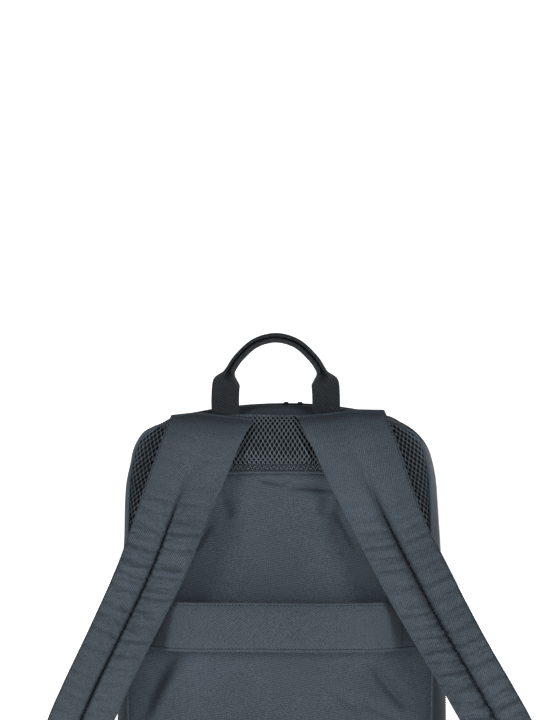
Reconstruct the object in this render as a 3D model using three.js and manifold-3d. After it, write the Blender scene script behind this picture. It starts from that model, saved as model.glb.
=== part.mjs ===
// Laptop backpack with padded shoulder straps, a carry handle and a band across its padded back.
// Millimetres, +Z up. The origin is the middle of the flat base. The wearer's side faces -Y,
// and left and right are as seen from that side.
import * as THREE from "three";
import { mergeVertices } from "three/addons/utils/BufferGeometryUtils.js";
import Module from "manifold-3d";

const wasm = await Module();
wasm.setup();

// Driving dimensions

const BODY_HEIGHT = 450;
const BASE_DEPTH = 140; // back seam to front seam at the base
const TOP_DEPTH = 112; // and at the top
const BACK_Y = -BASE_DEPTH / 2; // plane of the back seam
const CLOTH = 3; // wall of the gusset and the front
const BASE_PAD = 5; // padded base
const GAP = 0.4; // between pieces that are sewn together

// Half of the body's outline at the middle of its depth, as arcs from the top centre down the side
// to the base. Pull is how far the back seam lies inside this outline at the arc's end: below zero,
// it lies outside.
const TOP_PULL = 7;
const OUTLINE = [
  { part: "top", radius: 420, turn: 14, steps: 5, pull: 0.5 },
  { part: "shoulder_high", radius: 58, turn: 26, steps: 3, pull: -2 },
  { part: "shoulder_low", radius: 46, turn: 34, steps: 4, pull: 2.5 },
  { part: "upper_side", radius: 150, turn: 12, steps: 3, pull: 4.5 },
  { part: "lower_side", radius: null, turn: 5, steps: 6, pull: 16 }, // its radius follows from BODY_HEIGHT
  { part: "base_corner", radius: 40, turn: 89, steps: 5, pull: 3 },
];

// The front seam's pull, and the share of the depth over which each seam rounds off, high up and
// at the base.
const FRONT_PULL = { high: 16, base: 5 };
const ROUNDING = { back_high: 0.3, back_base: 0.06, front_high: 0.38, front_base: 0.1, settles: 90 };

// At its top the back rolls over towards the front: from this height up, within this reach.
const TOP_ROLL = { from: 418, reach: 26, depth: 16, ends: 0.45 };

// Back panel: padded, in two pieces that meet at a hem.
const PANEL = { edge: 3, crown: 5, columns: 14, side_rows: 22 };
const HEM = { height: 394.2, drop_at_sides: 54, half_width: 138, tape: 9, tape_thick: 1, tape_lift: 0.6 };

// Folds pressed into the lower back panel: centre, length and width in mm, lean from level in degrees.
const FOLDS = [
  { name: "under_hem_crease", x: 44, z: 376, length: 30, width: 7, lean: 3, rise: -2.2 },
  { name: "upper_left_crease", x: -50, z: 350, length: 24, width: 9, lean: -64, rise: -2.4 },
  { name: "upper_right_crease", x: 58, z: 352, length: 22, width: 9, lean: 66, rise: -2 },
  { name: "lower_left_ridge", x: -101, z: 194, length: 40, width: 11, lean: 58, rise: 4.5 },
  { name: "lower_left_dent", x: -92, z: 160, length: 22, width: 12, lean: 20, rise: -3.5 },
  { name: "lower_right_dent", x: 102, z: 195, length: 26, width: 10, lean: -52, rise: -4 },
  { name: "lower_right_ridge", x: 90, z: 176, length: 30, width: 11, lean: -40, rise: 3 },
];

const FRONT = { crown: 16, columns: 10, side_rows: 6 };

// Main zip, let into the middle of the gusset all the way round.
const ZIP = { width: 8, thick: 2, teeth: 3.2, teeth_rise: 0.7 };
const ZIP_PULL = { slider: 9, slider_wide: 7, tab: 24, tab_wide: 6, thick: 1.6, tall: 2.8, droop: 3 };
const ZIP_PULL_X = { left: 4, right: 17 };

// Shoulder straps by level: drop below the back seam's top, edges from the bag's middle on each side,
// stand of the body-side face off the seam plane, and thickness.
const STRAP = [
  { drop: -2, outer_left: 101, inner_left: 25, outer_right: 97, inner_right: 16, stand: 4.6, thick: 4 },
  { drop: 6, outer_left: 104, inner_left: 28, outer_right: 101, inner_right: 20, stand: 4.8, thick: 11 },
  { drop: 28, outer_left: 111, inner_left: 37, outer_right: 111, inner_right: 31, stand: 7, thick: 16 },
  { drop: 60, outer_left: 122, inner_left: 50, outer_right: 122, inner_right: 46, stand: 13, thick: 16.5 },
  { drop: 98, outer_left: 135, inner_left: 66, outer_right: 137, inner_right: 66, stand: 20, thick: 15 },
  { drop: 133, outer_left: 147, inner_left: 80, outer_right: 155, inner_right: 84, stand: 26, thick: 13.6 },
  { drop: 170, outer_left: 163, inner_left: 97, outer_right: 174, inner_right: 104, stand: 30, thick: 13 },
  { drop: 207, outer_left: 180, inner_left: 116, outer_right: 194, inner_right: 126, stand: 33, thick: 13 },
  { drop: 245, outer_left: 198, inner_left: 135, outer_right: 216, inner_right: 149, stand: 34, thick: 13 },
  { drop: 280, outer_left: 213, inner_left: 151, outer_right: 235, inner_right: 169, stand: 33, thick: 13 },
  { drop: 302, outer_left: 218, inner_left: 164, outer_right: 242, inner_right: 183, stand: 31, thick: 12 },
  { drop: 312, outer_left: 216, inner_left: 171, outer_right: 241, inner_right: 191, stand: 31, thick: 11 },
  { drop: 318, outer_left: 210, inner_left: 178, outer_right: 236, inner_right: 199, stand: 31, thick: 9 },
];
const STRAP_EDGE = 3; // thickness of a strap's sewn edge
const STRAP_STEP = 10; // between sections
const STRAP_COLUMNS = [-1, -0.9, -0.66, -0.38, -0.12, 0, 0.12, 0.38, 0.66, 0.9, 1]; // 0 is the groove
const STRAP_GROOVE = 3; // depth of the stitched groove down the middle
const PUCKERS = { from: 80, pitch: 24, left: 0.35, right: 0.9 }; // cross folds of the strap's face

// Trolley band by distance from the middle: how far it stands off the back panel.
const BAND = { middle: 250.5, height: 46, thick: 2.5, steps: 15 };
const BAND_STAND = [
  { x: 0, stand: 28 },
  { x: 52, stand: 28 },
  { x: 66, stand: 27.9 },
  { x: 78, stand: 25.8 },
  { x: 90, stand: 20.4 },
  { x: 102, stand: 12 },
  { x: 112, stand: 4.6 },
  { x: 120, stand: 1.2 },
  { x: 139, stand: 0.6 },
];

// Carry handle from its sewn end to the top of its arch: flat webbing that folds into a round grip.
const HANDLE_STAND = 2; // of its middle off the back seam
const HANDLE_SHIFT = -4; // it is sewn on a little left of the middle
const HANDLE = [
  { part: "sewn_end", out: 46.5, z: 443.7, wide: 26, deep: 2.2 },
  { part: "flat", out: 47, z: 456, wide: 26, deep: 2.2 },
  { part: "flat_top", out: 46.4, z: 470, wide: 24.5, deep: 3 },
  { part: "pinch", out: 44.6, z: 479, wide: 17, deep: 8 },
  { part: "grip_foot", out: 41, z: 488, wide: 9.5, deep: 12 },
  { part: "grip", out: 33.5, z: 498.5, wide: 8.5, deep: 13 },
  { part: "grip_high", out: 19, z: 511, wide: 8.5, deep: 13 },
  { part: "grip_top", out: 0, z: 516, wide: 8.5, deep: 13 },
];
const HANDLE_STEPS = 14; // sections on each side
const HANDLE_SIDES = 10;

// Lower webbing, its ladder lock and the tab that holds the lock to the strap.
const WEBBING = { wide: 25, thick: 1.4, tail: 46 };
const LOCK = { wide: 36, tall: 30, thick: 4, slot_wide: 27.5 };
const LOCK_SLOTS = [
  { name: "tab_slot", top: -4, bottom: -8.5 },
  { name: "load_slot", top: -12.5, bottom: -17 },
  { name: "tail_slot", top: -21.5, bottom: -26 },
];
const LOCK_TILT = { left: 22, right: 26 }; // the lock's swing towards the bag, in degrees
const TAB = { wide: 24, thick: 1.6, reach: 11 }; // reach from the strap's end to the lock's upper edge
const ANCHOR = { x: 141, z: 42, stand: 5.8 }; // where the webbing is sewn to the side seam

// Materials, in the colours of the cloth

const cloth = (color, roughness) => new THREE.MeshStandardMaterial({ color, roughness, metalness: 0 });
const MATERIALS = {
  nylon: cloth(0x4b5560, 0.72),
  padded_nylon: cloth(0x4c5661, 0.74),
  air_mesh: cloth(0x2c3238, 0.9),
  webbing: cloth(0x2a2f35, 0.82),
  band_cloth: cloth(0x4a535d, 0.76),
  plastic: cloth(0x15171a, 0.45),
};

// Shape helpers

const { lerp, clamp, degToRad, smoothstep } = THREE.MathUtils;
const point = (x, y, z) => new THREE.Vector3(x, y, z);
const steps = (count) => Array.from({ length: count + 1 }, (_, i) => i / count);

// A smooth function through one column of a table, read against another column.
function column(rows, against, name) {
  return (at) => {
    let i = 0;
    while (i < rows.length - 2 && at > rows[i + 1][against]) i += 1;
    const [a, b] = [rows[i], rows[i + 1]];
    const before = rows[Math.max(i - 1, 0)];
    const after = rows[Math.min(i + 2, rows.length - 1)];
    const span = b[against] - a[against];
    const t = clamp((at - a[against]) / span, 0, 1);
    const slopeA = ((b[name] - before[name]) / (b[against] - before[against])) * span;
    const slopeB = ((after[name] - a[name]) / (after[against] - a[against])) * span;
    const [t2, t3] = [t * t, t * t * t];
    const values = a[name] * (2 * t3 - 3 * t2 + 1) + b[name] * (3 * t2 - 2 * t3);
    const slopes = slopeA * (t3 - 2 * t2 + t) + slopeB * (t3 - t2);
    return values + slopes;
  };
}

// A closed geometry from points and triangles, turned so that its faces point out.
function closedGeometry(points, triangles) {
  let volume = 0;
  for (const [a, b, c] of triangles) volume += points[a].dot(points[b].clone().cross(points[c]));
  const index = triangles.flatMap(([a, b, c]) => (volume < 0 ? [a, c, b] : [a, b, c]));
  const geometry = new THREE.BufferGeometry().setFromPoints(points);
  geometry.setIndex(index);
  geometry.computeVertexNormals();
  return geometry;
}

// A wall between two grids of points with the same rows and columns.
function wall(outer, inner) {
  const [rows, columns] = [outer.length, outer[0].length];
  const [lastRow, lastColumn] = [rows - 1, columns - 1];
  const points = [...outer.flat(), ...inner.flat()];
  const at = (side, r, c) => side * rows * columns + r * columns + c;
  const triangles = [];
  const quad = (a, b, c, d) => triangles.push([a, b, c], [a, c, d]);
  for (let r = 0; r < lastRow; r += 1)
    for (let c = 0; c < lastColumn; c += 1) {
      quad(at(0, r, c), at(0, r, c + 1), at(0, r + 1, c + 1), at(0, r + 1, c));
      quad(at(1, r, c), at(1, r + 1, c), at(1, r + 1, c + 1), at(1, r, c + 1));
    }
  for (let r = 0; r < lastRow; r += 1) {
    quad(at(0, r, 0), at(0, r + 1, 0), at(1, r + 1, 0), at(1, r, 0));
    quad(at(0, r + 1, lastColumn), at(0, r, lastColumn), at(1, r, lastColumn), at(1, r + 1, lastColumn));
  }
  for (let c = 0; c < lastColumn; c += 1) {
    quad(at(0, 0, c + 1), at(0, 0, c), at(1, 0, c), at(1, 0, c + 1));
    quad(at(0, lastRow, c), at(0, lastRow, c + 1), at(1, lastRow, c + 1), at(1, lastRow, c));
  }
  return closedGeometry(points, triangles);
}

// A closed tube through rings with the same number of points, with flat ends.
function tube(rings) {
  const sides = rings[0].length;
  const points = rings.flat();
  const triangles = [];
  for (let r = 0; r < rings.length - 1; r += 1)
    for (let s = 0; s < sides; s += 1) {
      const [a, b] = [r * sides + s, r * sides + ((s + 1) % sides)];
      triangles.push([a, b, b + sides], [a, b + sides, a + sides]);
    }
  const last = (rings.length - 1) * sides;
  for (let s = 1; s < sides - 1; s += 1) triangles.push([0, s + 1, s], [last, last + s, last + s + 1]);
  return closedGeometry(points, triangles);
}

function solidOf(geometry) {
  const bare = geometry.clone();
  bare.deleteAttribute("normal");
  bare.deleteAttribute("uv");
  const merged = mergeVertices(bare);
  const vertProperties = merged.getAttribute("position").array;
  const triVerts = new Uint32Array(merged.index.array);
  return new wasm.Manifold(new wasm.Mesh({ numProp: 3, vertProperties, triVerts }));
}

function geometryOf(solid) {
  const mesh = solid.getMesh();
  const geometry = new THREE.BufferGeometry();
  geometry.setAttribute("position", new THREE.BufferAttribute(mesh.vertProperties, 3));
  geometry.setIndex(new THREE.BufferAttribute(mesh.triVerts, 1));
  geometry.computeVertexNormals();
  return geometry;
}

const backpack = new THREE.Group();

function addPiece(name, geometry, material, parent = backpack) {
  const mesh = new THREE.Mesh(geometry, material);
  mesh.name = name;
  parent.add(mesh);
  return mesh;
}

// Body outline

function arcDrop(radius, from, turn) {
  return radius * (Math.cos(degToRad(from)) - Math.cos(degToRad(from + turn)));
}

function lowerSideRadius() {
  let heading = 0;
  let others = 0;
  let share = 0;
  for (const arc of OUTLINE) {
    if (arc.radius === null) share = arcDrop(1, heading, arc.turn);
    else others += arcDrop(arc.radius, heading, arc.turn);
    heading += arc.turn;
  }
  return (BODY_HEIGHT - others) / share;
}

// Points of the right half's outline with their outward normals, from the top centre to the base.
function halfOutline(parts, finer = {}) {
  const found = [];
  let [x, z, heading, pull] = [0, BODY_HEIGHT, 0, TOP_PULL];
  for (const arc of OUTLINE) {
    const radius = arc.radius ?? lowerSideRadius();
    const [startX, startZ, startPull, from] = [x, z, pull, degToRad(heading)];
    for (const t of steps(finer[arc.part] ?? arc.steps)) {
      const to = from + t * degToRad(arc.turn);
      x = startX + radius * (Math.sin(to) - Math.sin(from));
      z = startZ - radius * (Math.cos(from) - Math.cos(to));
      pull = lerp(startPull, arc.pull, t);
      const isJoin = t === 0 && found.length > 0;
      if (!parts.includes(arc.part) || isJoin) continue;
      found.push({ x, z, nx: Math.sin(to), nz: Math.cos(to), pull });
    }
    heading += arc.turn;
  }
  return found;
}

const mirrored = (station) => ({ ...station, x: -station.x, nx: -station.nx });
const depthAt = (z) => lerp(BASE_DEPTH, TOP_DEPTH, z / BODY_HEIGHT);

// How far the gusset is pulled in at a share of the depth: 0 at the back seam, 1 at the front seam.
function seamPull(station, share) {
  const settled = smoothstep(station.z, 0, ROUNDING.settles);
  const backReach = lerp(ROUNDING.back_base, ROUNDING.back_high, settled);
  const frontReach = lerp(ROUNDING.front_base, ROUNDING.front_high, settled);
  const frontPull = lerp(FRONT_PULL.base, FRONT_PULL.high, settled);
  const back = station.pull * Math.max(0, 1 - share / backReach) ** 2;
  const front = frontPull * Math.max(0, 1 - (1 - share) / frontReach) ** 2;
  return back + front;
}

// How far the back has rolled in front of its plane at a height.
function topRoll(z) {
  const share = clamp((z - TOP_ROLL.from) / TOP_ROLL.reach, 0, 0.97);
  return TOP_ROLL.depth * (1 - Math.sqrt(1 - share * share));
}

// A point of the gusset, sunk below its outer face. The roll of the back fades out towards the zip.
function gussetPoint(station, share, sunk) {
  const inset = seamPull(station, share) + sunk;
  const roll = topRoll(station.z - station.nz * station.pull) * Math.max(0, 1 - share / TOP_ROLL.ends) ** 2;
  return point(
    station.x - station.nx * inset,
    BACK_Y + share * depthAt(station.z) + roll,
    station.z - station.nz * inset,
  );
}

const SIDE_PARTS = ["top", "shoulder_high", "shoulder_low", "upper_side", "lower_side"];

// Stations from the left end of the base corner, over the top, to the right end.
function overTheTop() {
  const right = halfOutline(SIDE_PARTS);
  const end = right[right.length - 1];
  right[right.length - 1] = { ...end, z: end.z + GAP };
  return [...right.slice(1).reverse().map(mirrored), ...right];
}

function gussetStrip(shares, thick) {
  const stations = overTheTop();
  const face = (sunk) => stations.map((s) => shares(s).map((share) => gussetPoint(s, share, sunk)));
  return wall(face(0), face(thick));
}

// Gusset on both sides of the zip, with closer sections near the seams
const SEAM_SECTIONS = [0, 0.12, 0.3, 0.6, 1];
const zipEdge = (station) => (ZIP.width / 2 + GAP) / depthAt(station.z);
addPiece(
  "gusset_back",
  gussetStrip((s) => SEAM_SECTIONS.map((t) => t * (0.5 - zipEdge(s))), CLOTH),
  MATERIALS.nylon,
);
addPiece(
  "gusset_front",
  gussetStrip((s) => SEAM_SECTIONS.map((t) => 1 - t * (0.5 - zipEdge(s))), CLOTH),
  MATERIALS.nylon,
);

// Main zip: a tape with its row of teeth standing a little proud
function mainZip() {
  const stations = overTheTop();
  const edges = [
    { off: -ZIP.width / 2, proud: 0 },
    { off: -ZIP.teeth / 2, proud: 1 },
    { off: ZIP.teeth / 2, proud: 1 },
    { off: ZIP.width / 2, proud: 0 },
  ];
  const face = (sunk, rise) =>
    stations.map((s) =>
      edges.map((edge) => gussetPoint(s, 0.5 + edge.off / depthAt(s.z), sunk - edge.proud * rise)),
    );
  return wall(face(0, ZIP.teeth_rise), face(ZIP.thick, 0));
}
addPiece("main_zip", mainZip(), MATERIALS.plastic);

// Zip pulls: a slider across the zip, with its tab drooping over the front half of the gusset
function zipPull() {
  const tab = new THREE.Shape();
  const [halfTab, halfSlider] = [ZIP_PULL.tab_wide / 2, ZIP_PULL.slider_wide / 2];
  tab.moveTo(0, -halfSlider);
  tab.lineTo(ZIP_PULL.slider, -halfTab);
  tab.lineTo(ZIP_PULL.slider + ZIP_PULL.tab - halfTab, -halfTab);
  tab.absarc(ZIP_PULL.slider + ZIP_PULL.tab - halfTab, 0, halfTab, -Math.PI / 2, Math.PI / 2, false);
  tab.lineTo(ZIP_PULL.slider, halfTab);
  tab.lineTo(0, halfSlider);
  tab.closePath();
  const flatness = { depth: ZIP_PULL.thick, bevelEnabled: false, curveSegments: 6 };
  const flat = new THREE.ExtrudeGeometry(tab, flatness);
  const bridge = new THREE.BoxGeometry(ZIP_PULL.slider - 2, ZIP_PULL.slider_wide - 3, ZIP_PULL.tall);
  bridge.translate(ZIP_PULL.slider / 2, 0, ZIP_PULL.tall / 2);
  return geometryOf(solidOf(flat).add(solidOf(bridge)));
}
for (const side of ["left", "right"]) {
  const pull = addPiece(`zip_pull_${side}`, zipPull(), MATERIALS.plastic);
  const middle = BACK_Y + depthAt(BODY_HEIGHT) / 2;
  pull.position.set(ZIP_PULL_X[side], middle - ZIP_PULL.slider / 2, BODY_HEIGHT + ZIP.teeth_rise + 2 * GAP);
  pull.rotation.set(0, degToRad(ZIP_PULL.droop), Math.PI / 2, "ZYX");
}

// Base: a padded tray between the two ends of the gusset
function basePanel() {
  const right = halfOutline(["base_corner"]);
  const stations = [...right.map(mirrored), ...right.slice().reverse()];
  const shares = [0, 0.06, 0.15, 0.35, 0.65, 0.85, 0.94, 1];
  const face = (sunk) => stations.map((s) => shares.map((share) => gussetPoint(s, share, sunk)));
  return wall(face(0), face(BASE_PAD));
}
addPiece("base_panel", basePanel(), MATERIALS.nylon);

// Rows of a panel that closes one end of the gusset: half width and height, with the seam's place in
// depth. The first is the level edge at the top.
function panelRows(share, sideRows) {
  const stations = halfOutline([...SIDE_PARTS, "base_corner"], { lower_side: sideRows }).slice(1);
  return stations.map((s) => {
    const edge = gussetPoint(s, share, 0);
    return { half: edge.x, z: edge.z, y: edge.y };
  });
}

const across = (row, columns) => steps(columns).map((t) => row.half * (2 * t - 1));

// Share of a panel's crown at a place: full in the middle, nothing at the seam.
function crownShare(x, z, half, top, sharpness) {
  const sideways = 1 - Math.abs(x / half) ** 3;
  const upwards = 1 - Math.abs((2 * z) / top - 1) ** sharpness;
  return Math.max(0, sideways * upwards);
}

function foldRise(x, z) {
  let rise = 0;
  for (const fold of FOLDS) {
    const lean = degToRad(fold.lean);
    const [dx, dz] = [x - fold.x, z - fold.z];
    const along = (dx * Math.cos(lean) + dz * Math.sin(lean)) / fold.length;
    const off = (dz * Math.cos(lean) - dx * Math.sin(lean)) / fold.width;
    rise += fold.rise * Math.exp(-off * off - along ** 4);
  }
  return rise;
}

const SEAM_TOP = BODY_HEIGHT - TOP_PULL;
const backRows = panelRows(0, PANEL.side_rows);

// Half width of the back seam at a height.
function backHalfWidth(z) {
  const below = backRows.findIndex((row) => row.z <= z);
  const [a, b] = [backRows[Math.max(below - 1, 0)], backRows[Math.max(below, 1)]];
  return lerp(a.half, b.half, clamp((z - a.z) / (b.z - a.z), 0, 1));
}

// Outer face of the back panel at a place: the padding's crown, with the folds below the hem.
function backFace(x, z) {
  const share = crownShare(x, z, backHalfWidth(z), SEAM_TOP, 6);
  const padding = PANEL.edge + PANEL.crown * share + foldRise(x, z) * Math.min(1, 3 * share);
  return BACK_Y - GAP + topRoll(z) - padding;
}

// The same face as it comes out between the sections, for what lies on it.
function facetedBack(x, z) {
  const i = clamp(backRows.findIndex((row) => row.z <= z), 1, backRows.length - 1);
  const level = (row) => {
    const place = clamp(((x / row.half + 1) / 2) * PANEL.columns, 0, PANEL.columns);
    const left = Math.min(Math.floor(place), PANEL.columns - 1);
    const faceAt = (c) => backFace(row.half * ((2 * c) / PANEL.columns - 1), row.z);
    return lerp(faceAt(left), faceAt(left + 1), place - left);
  };
  const [above, below] = [backRows[i - 1], backRows[i]];
  return lerp(level(below), level(above), (z - below.z) / (above.z - below.z));
}

function backPanel() {
  const faceRow = (row) => across(row, PANEL.columns).map((x) => point(x, backFace(x, row.z), row.z));
  const outer = backRows.map(faceRow);
  const inner = outer.map((row) => row.map((p) => point(p.x, BACK_Y - GAP + topRoll(p.z), p.z)));
  return solidOf(wall(outer, inner));
}

const hemHeight = (x) => HEM.height - HEM.drop_at_sides * Math.abs(x / HEM.half_width) ** 4;

// A block that holds everything above the hem, or below it when it reaches down.
function hemBlock(to, clear) {
  const HALF_WIDTH = 180;
  const DEEP = 60;
  const shape = new THREE.Shape();
  shape.moveTo(-HALF_WIDTH, to);
  for (const t of steps(28)) {
    const x = lerp(-HALF_WIDTH, HALF_WIDTH, t);
    shape.lineTo(x, hemHeight(x) + clear);
  }
  shape.lineTo(HALF_WIDTH, to);
  shape.closePath();
  const block = new THREE.ExtrudeGeometry(shape, { depth: DEEP, bevelEnabled: false });
  block.rotateX(Math.PI / 2);
  block.translate(0, BACK_Y + DEEP / 2, 0);
  return solidOf(block);
}

// Upper back panel of air mesh, and the lower one of nylon
const wholeBack = backPanel();
addPiece("back_mesh_panel", geometryOf(wholeBack.intersect(hemBlock(600, GAP / 2))), MATERIALS.air_mesh);
addPiece("back_lower_panel", geometryOf(wholeBack.intersect(hemBlock(-50, -GAP / 2))), MATERIALS.nylon);

// Tape along the hem
function hemTape() {
  const REACH = 134;
  const face = (lift) =>
    steps(28).map((t) => {
      const x = lerp(-REACH, REACH, t);
      return [-0.5, 0.5].map((side) => {
        const z = hemHeight(x) + side * HEM.tape;
        return point(x, facetedBack(x, z) - HEM.tape_lift - lift, z);
      });
    });
  return wall(face(HEM.tape_thick), face(0));
}
addPiece("hem_tape", hemTape(), MATERIALS.webbing);

// Front: a crowned cloth panel
function frontPanel() {
  const rows = panelRows(1, FRONT.side_rows);
  const [top, bottom] = [rows[0].z, rows[rows.length - 1].z];
  const face = (thick) =>
    rows.map((row) =>
      across(row, FRONT.columns).map((x) => {
        const share = crownShare(x, row.z - bottom, row.half, top - bottom, 4);
        return point(x, row.y + GAP + thick + FRONT.crown * share, row.z);
      }),
    );
  return wall(face(CLOTH), face(0));
}
addPiece("front_panel", frontPanel(), MATERIALS.nylon);

// Shoulder straps

// Places across a strap at a level: its two faces, with the groove and cross folds in the outer one.
function strapSection(side, drop) {
  const sign = side === "left" ? -1 : 1;
  const read = (name) => column(STRAP, "drop", name)(drop);
  const [outer, inner] = [read(`outer_${side}`), read(`inner_${side}`)];
  const [stand, thick] = [read("stand"), read("thick")];
  const pucker = PUCKERS[side] * smoothstep(drop, PUCKERS.from, PUCKERS.from + 40);
  return STRAP_COLUMNS.map((u) => {
    const x = sign * lerp(inner, outer, (u + 1) / 2);
    const full = Math.min(STRAP_EDGE, thick) + Math.max(0, thick - STRAP_EDGE) * (1 - Math.abs(u) ** 3);
    const half = u < 0 ? 0 : 0.5; // the folds of the two halves don't line up
    const fold = pucker * Math.sin(2 * Math.PI * (drop / PUCKERS.pitch + half + 0.2 * u)) * (1 - u * u);
    const groove = u === 0 ? STRAP_GROOVE * smoothstep(drop, 10, 50) : 0;
    const z = SEAM_TOP - drop;
    const middle = BACK_Y + topRoll(z) - stand - thick / 2;
    return { face: point(x, middle - full / 2 - fold + groove, z), under: point(x, middle + full / 2, z) };
  });
}

function shoulderStrap(side) {
  const [first, last] = [STRAP[0].drop, STRAP[STRAP.length - 1].drop];
  const levels = steps(Math.round((last - first) / STRAP_STEP)).map((t) => lerp(first, last, t));
  const sections = levels.map((drop) => strapSection(side, drop));
  return wall(
    sections.map((row) => row.map((p) => p.face)),
    sections.map((row) => row.map((p) => p.under)),
  );
}
for (const side of ["left", "right"])
  addPiece(`shoulder_strap_${side}`, shoulderStrap(side), MATERIALS.padded_nylon);

// Trolley band: sewn flat at both ends and standing off the back panel between them
function trolleyBand() {
  const stand = column(BAND_STAND, "x", "stand");
  const reach = BAND_STAND[BAND_STAND.length - 1].x;
  const face = (thick) =>
    steps(2 * BAND.steps).map((t) => {
      const x = lerp(-reach, reach, t);
      return [-0.5, 0, 0.5].map((side) => {
        const z = BAND.middle + side * BAND.height;
        return point(x, facetedBack(x, z) - stand(Math.abs(x)) - thick, z);
      });
    });
  return wall(face(BAND.thick), face(0));
}
addPiece("trolley_band", trolleyBand(), MATERIALS.band_cloth);

// Carry handle
const HANDLE_Y = BACK_Y + topRoll(SEAM_TOP) - HANDLE_STAND;
function carryHandle() {
  const top = HANDLE.length - 1;
  const pastTop = { ...HANDLE[top - 1], out: -HANDLE[top - 1].out }; // keeps the arch level at its top
  const rowAt = [...HANDLE, pastTop].map((row, i) => ({ ...row, at: i / top }));
  const read = (name, at) => column(rowAt, "at", name)(at);
  const places = steps(2 * HANDLE_STEPS).map((t) => {
    const at = 1 - Math.abs(2 * t - 1);
    const sign = t < 0.5 ? -1 : 1;
    const x = HANDLE_SHIFT + sign * read("out", at);
    return { x, z: read("z", at), wide: read("wide", at), deep: read("deep", at) };
  });
  const rings = places.map((place, i) => {
    const [before, after] = [places[Math.max(i - 1, 0)], places[Math.min(i + 1, places.length - 1)]];
    const way = new THREE.Vector2(after.x - before.x, after.z - before.z).normalize();
    return steps(HANDLE_SIDES)
      .slice(1)
      .map((t) => {
        const turn = 2 * Math.PI * t;
        const sideways = (Math.cos(turn) * place.wide) / 2;
        return point(
          place.x - way.y * sideways,
          HANDLE_Y + (Math.sin(turn) * place.deep) / 2,
          place.z + way.x * sideways,
        );
      });
  });
  return tube(rings);
}
addPiece("carry_handle", carryHandle(), MATERIALS.webbing);

// Ladder lock: a frame with a slot for the tab and two for the webbing, seen from the wearer's side
function rectangle(shape, half, top, bottom) {
  shape.moveTo(-half, bottom);
  shape.lineTo(half, bottom);
  shape.lineTo(half, top);
  shape.lineTo(-half, top);
  shape.closePath();
  return shape;
}

function ladderLock() {
  const frame = rectangle(new THREE.Shape(), LOCK.wide / 2, 0, -LOCK.tall);
  for (const slot of LOCK_SLOTS)
    frame.holes.push(rectangle(new THREE.Path(), LOCK.slot_wide / 2, slot.top, slot.bottom));
  const geometry = new THREE.ExtrudeGeometry(frame, { depth: LOCK.thick, bevelEnabled: false });
  geometry.rotateX(Math.PI / 2);
  geometry.translate(0, LOCK.thick / 2, 0);
  return geometry;
}

// A ribbon along a path: each place has a point and the direction of the ribbon's width.
function ribbon(places, wide, thick) {
  const face = (side) =>
    places.map((place, i) => {
      const [before, after] = [places[Math.max(i - 1, 0)], places[Math.min(i + 1, places.length - 1)]];
      const way = after.at.clone().sub(before.at).normalize();
      const normal = way.cross(place.width).normalize();
      return [-0.5, 0.5].map((edge) =>
        place.at
          .clone()
          .addScaledVector(place.width, edge * wide)
          .addScaledVector(normal, (side * thick) / 2),
      );
    });
  return wall(face(1), face(-1));
}

// Tab: a short loop of webbing round the lock's upper bar, its ends cut level where the strap ends
function adjusterTab(tilt) {
  const SPARE = 10;
  const bar = -LOCK_SLOTS[0].top / 2;
  const round = LOCK.thick / 2 + TAB.thick + GAP;
  const legs = [
    [-round, TAB.reach + SPARE],
    [-round, 0],
  ];
  const bend = steps(8).map((t) => [-round * Math.cos(Math.PI * t), -bar - round * Math.sin(Math.PI * t)]);
  const path = [...legs, ...bend, ...legs.slice().reverse().map(([y, z]) => [-y, z])];
  const loop = ribbon(
    path.map(([y, z]) => ({ at: point(0, y, z), width: point(1, 0, 0) })),
    TAB.wide,
    TAB.thick,
  );
  const strapEnd = new THREE.BoxGeometry(4 * TAB.wide, 4 * TAB.wide, 4 * TAB.wide);
  strapEnd.translate(0, 0, TAB.reach + 2 * TAB.wide);
  strapEnd.rotateY(-tilt);
  return geometryOf(solidOf(loop).subtract(solidOf(strapEnd)));
}

// Webbing in the lock's own frame: up behind the lock, over the bar between the slots, and down again
// as a tail.
function throughLock() {
  const [load, tail] = [LOCK_SLOTS[1], LOCK_SLOTS[2]].map((slot) => (slot.top + slot.bottom) / 2);
  const front = -LOCK.thick / 2 - WEBBING.thick / 2 - 0.6;
  const behind = LOCK.thick / 2 + WEBBING.thick / 2 + 0.6;
  const apart = 2.4; // between the loaded webbing and the tail behind the lock
  return [
    [behind + apart + 1, -LOCK.tall - 12],
    [behind + apart, -LOCK.tall + 4],
    [behind + apart - 0.6, load - 2.6],
    [behind, load - 0.5],
    [LOCK.thick / 4, load],
    [-LOCK.thick / 4, load],
    [front + 0.5, load - 0.4],
    [front, load - 1.6],
    [front, tail + 1.6],
    [front + 0.5, tail + 0.4],
    [-LOCK.thick / 4, tail],
    [LOCK.thick / 4, tail],
    [behind - 0.4, tail - 0.4],
    [behind, tail - 1.8],
    [behind, -LOCK.tall],
    [behind + 0.3, -LOCK.tall - WEBBING.tail / 2],
    [behind - 2, -LOCK.tall - WEBBING.tail],
  ];
}

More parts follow.
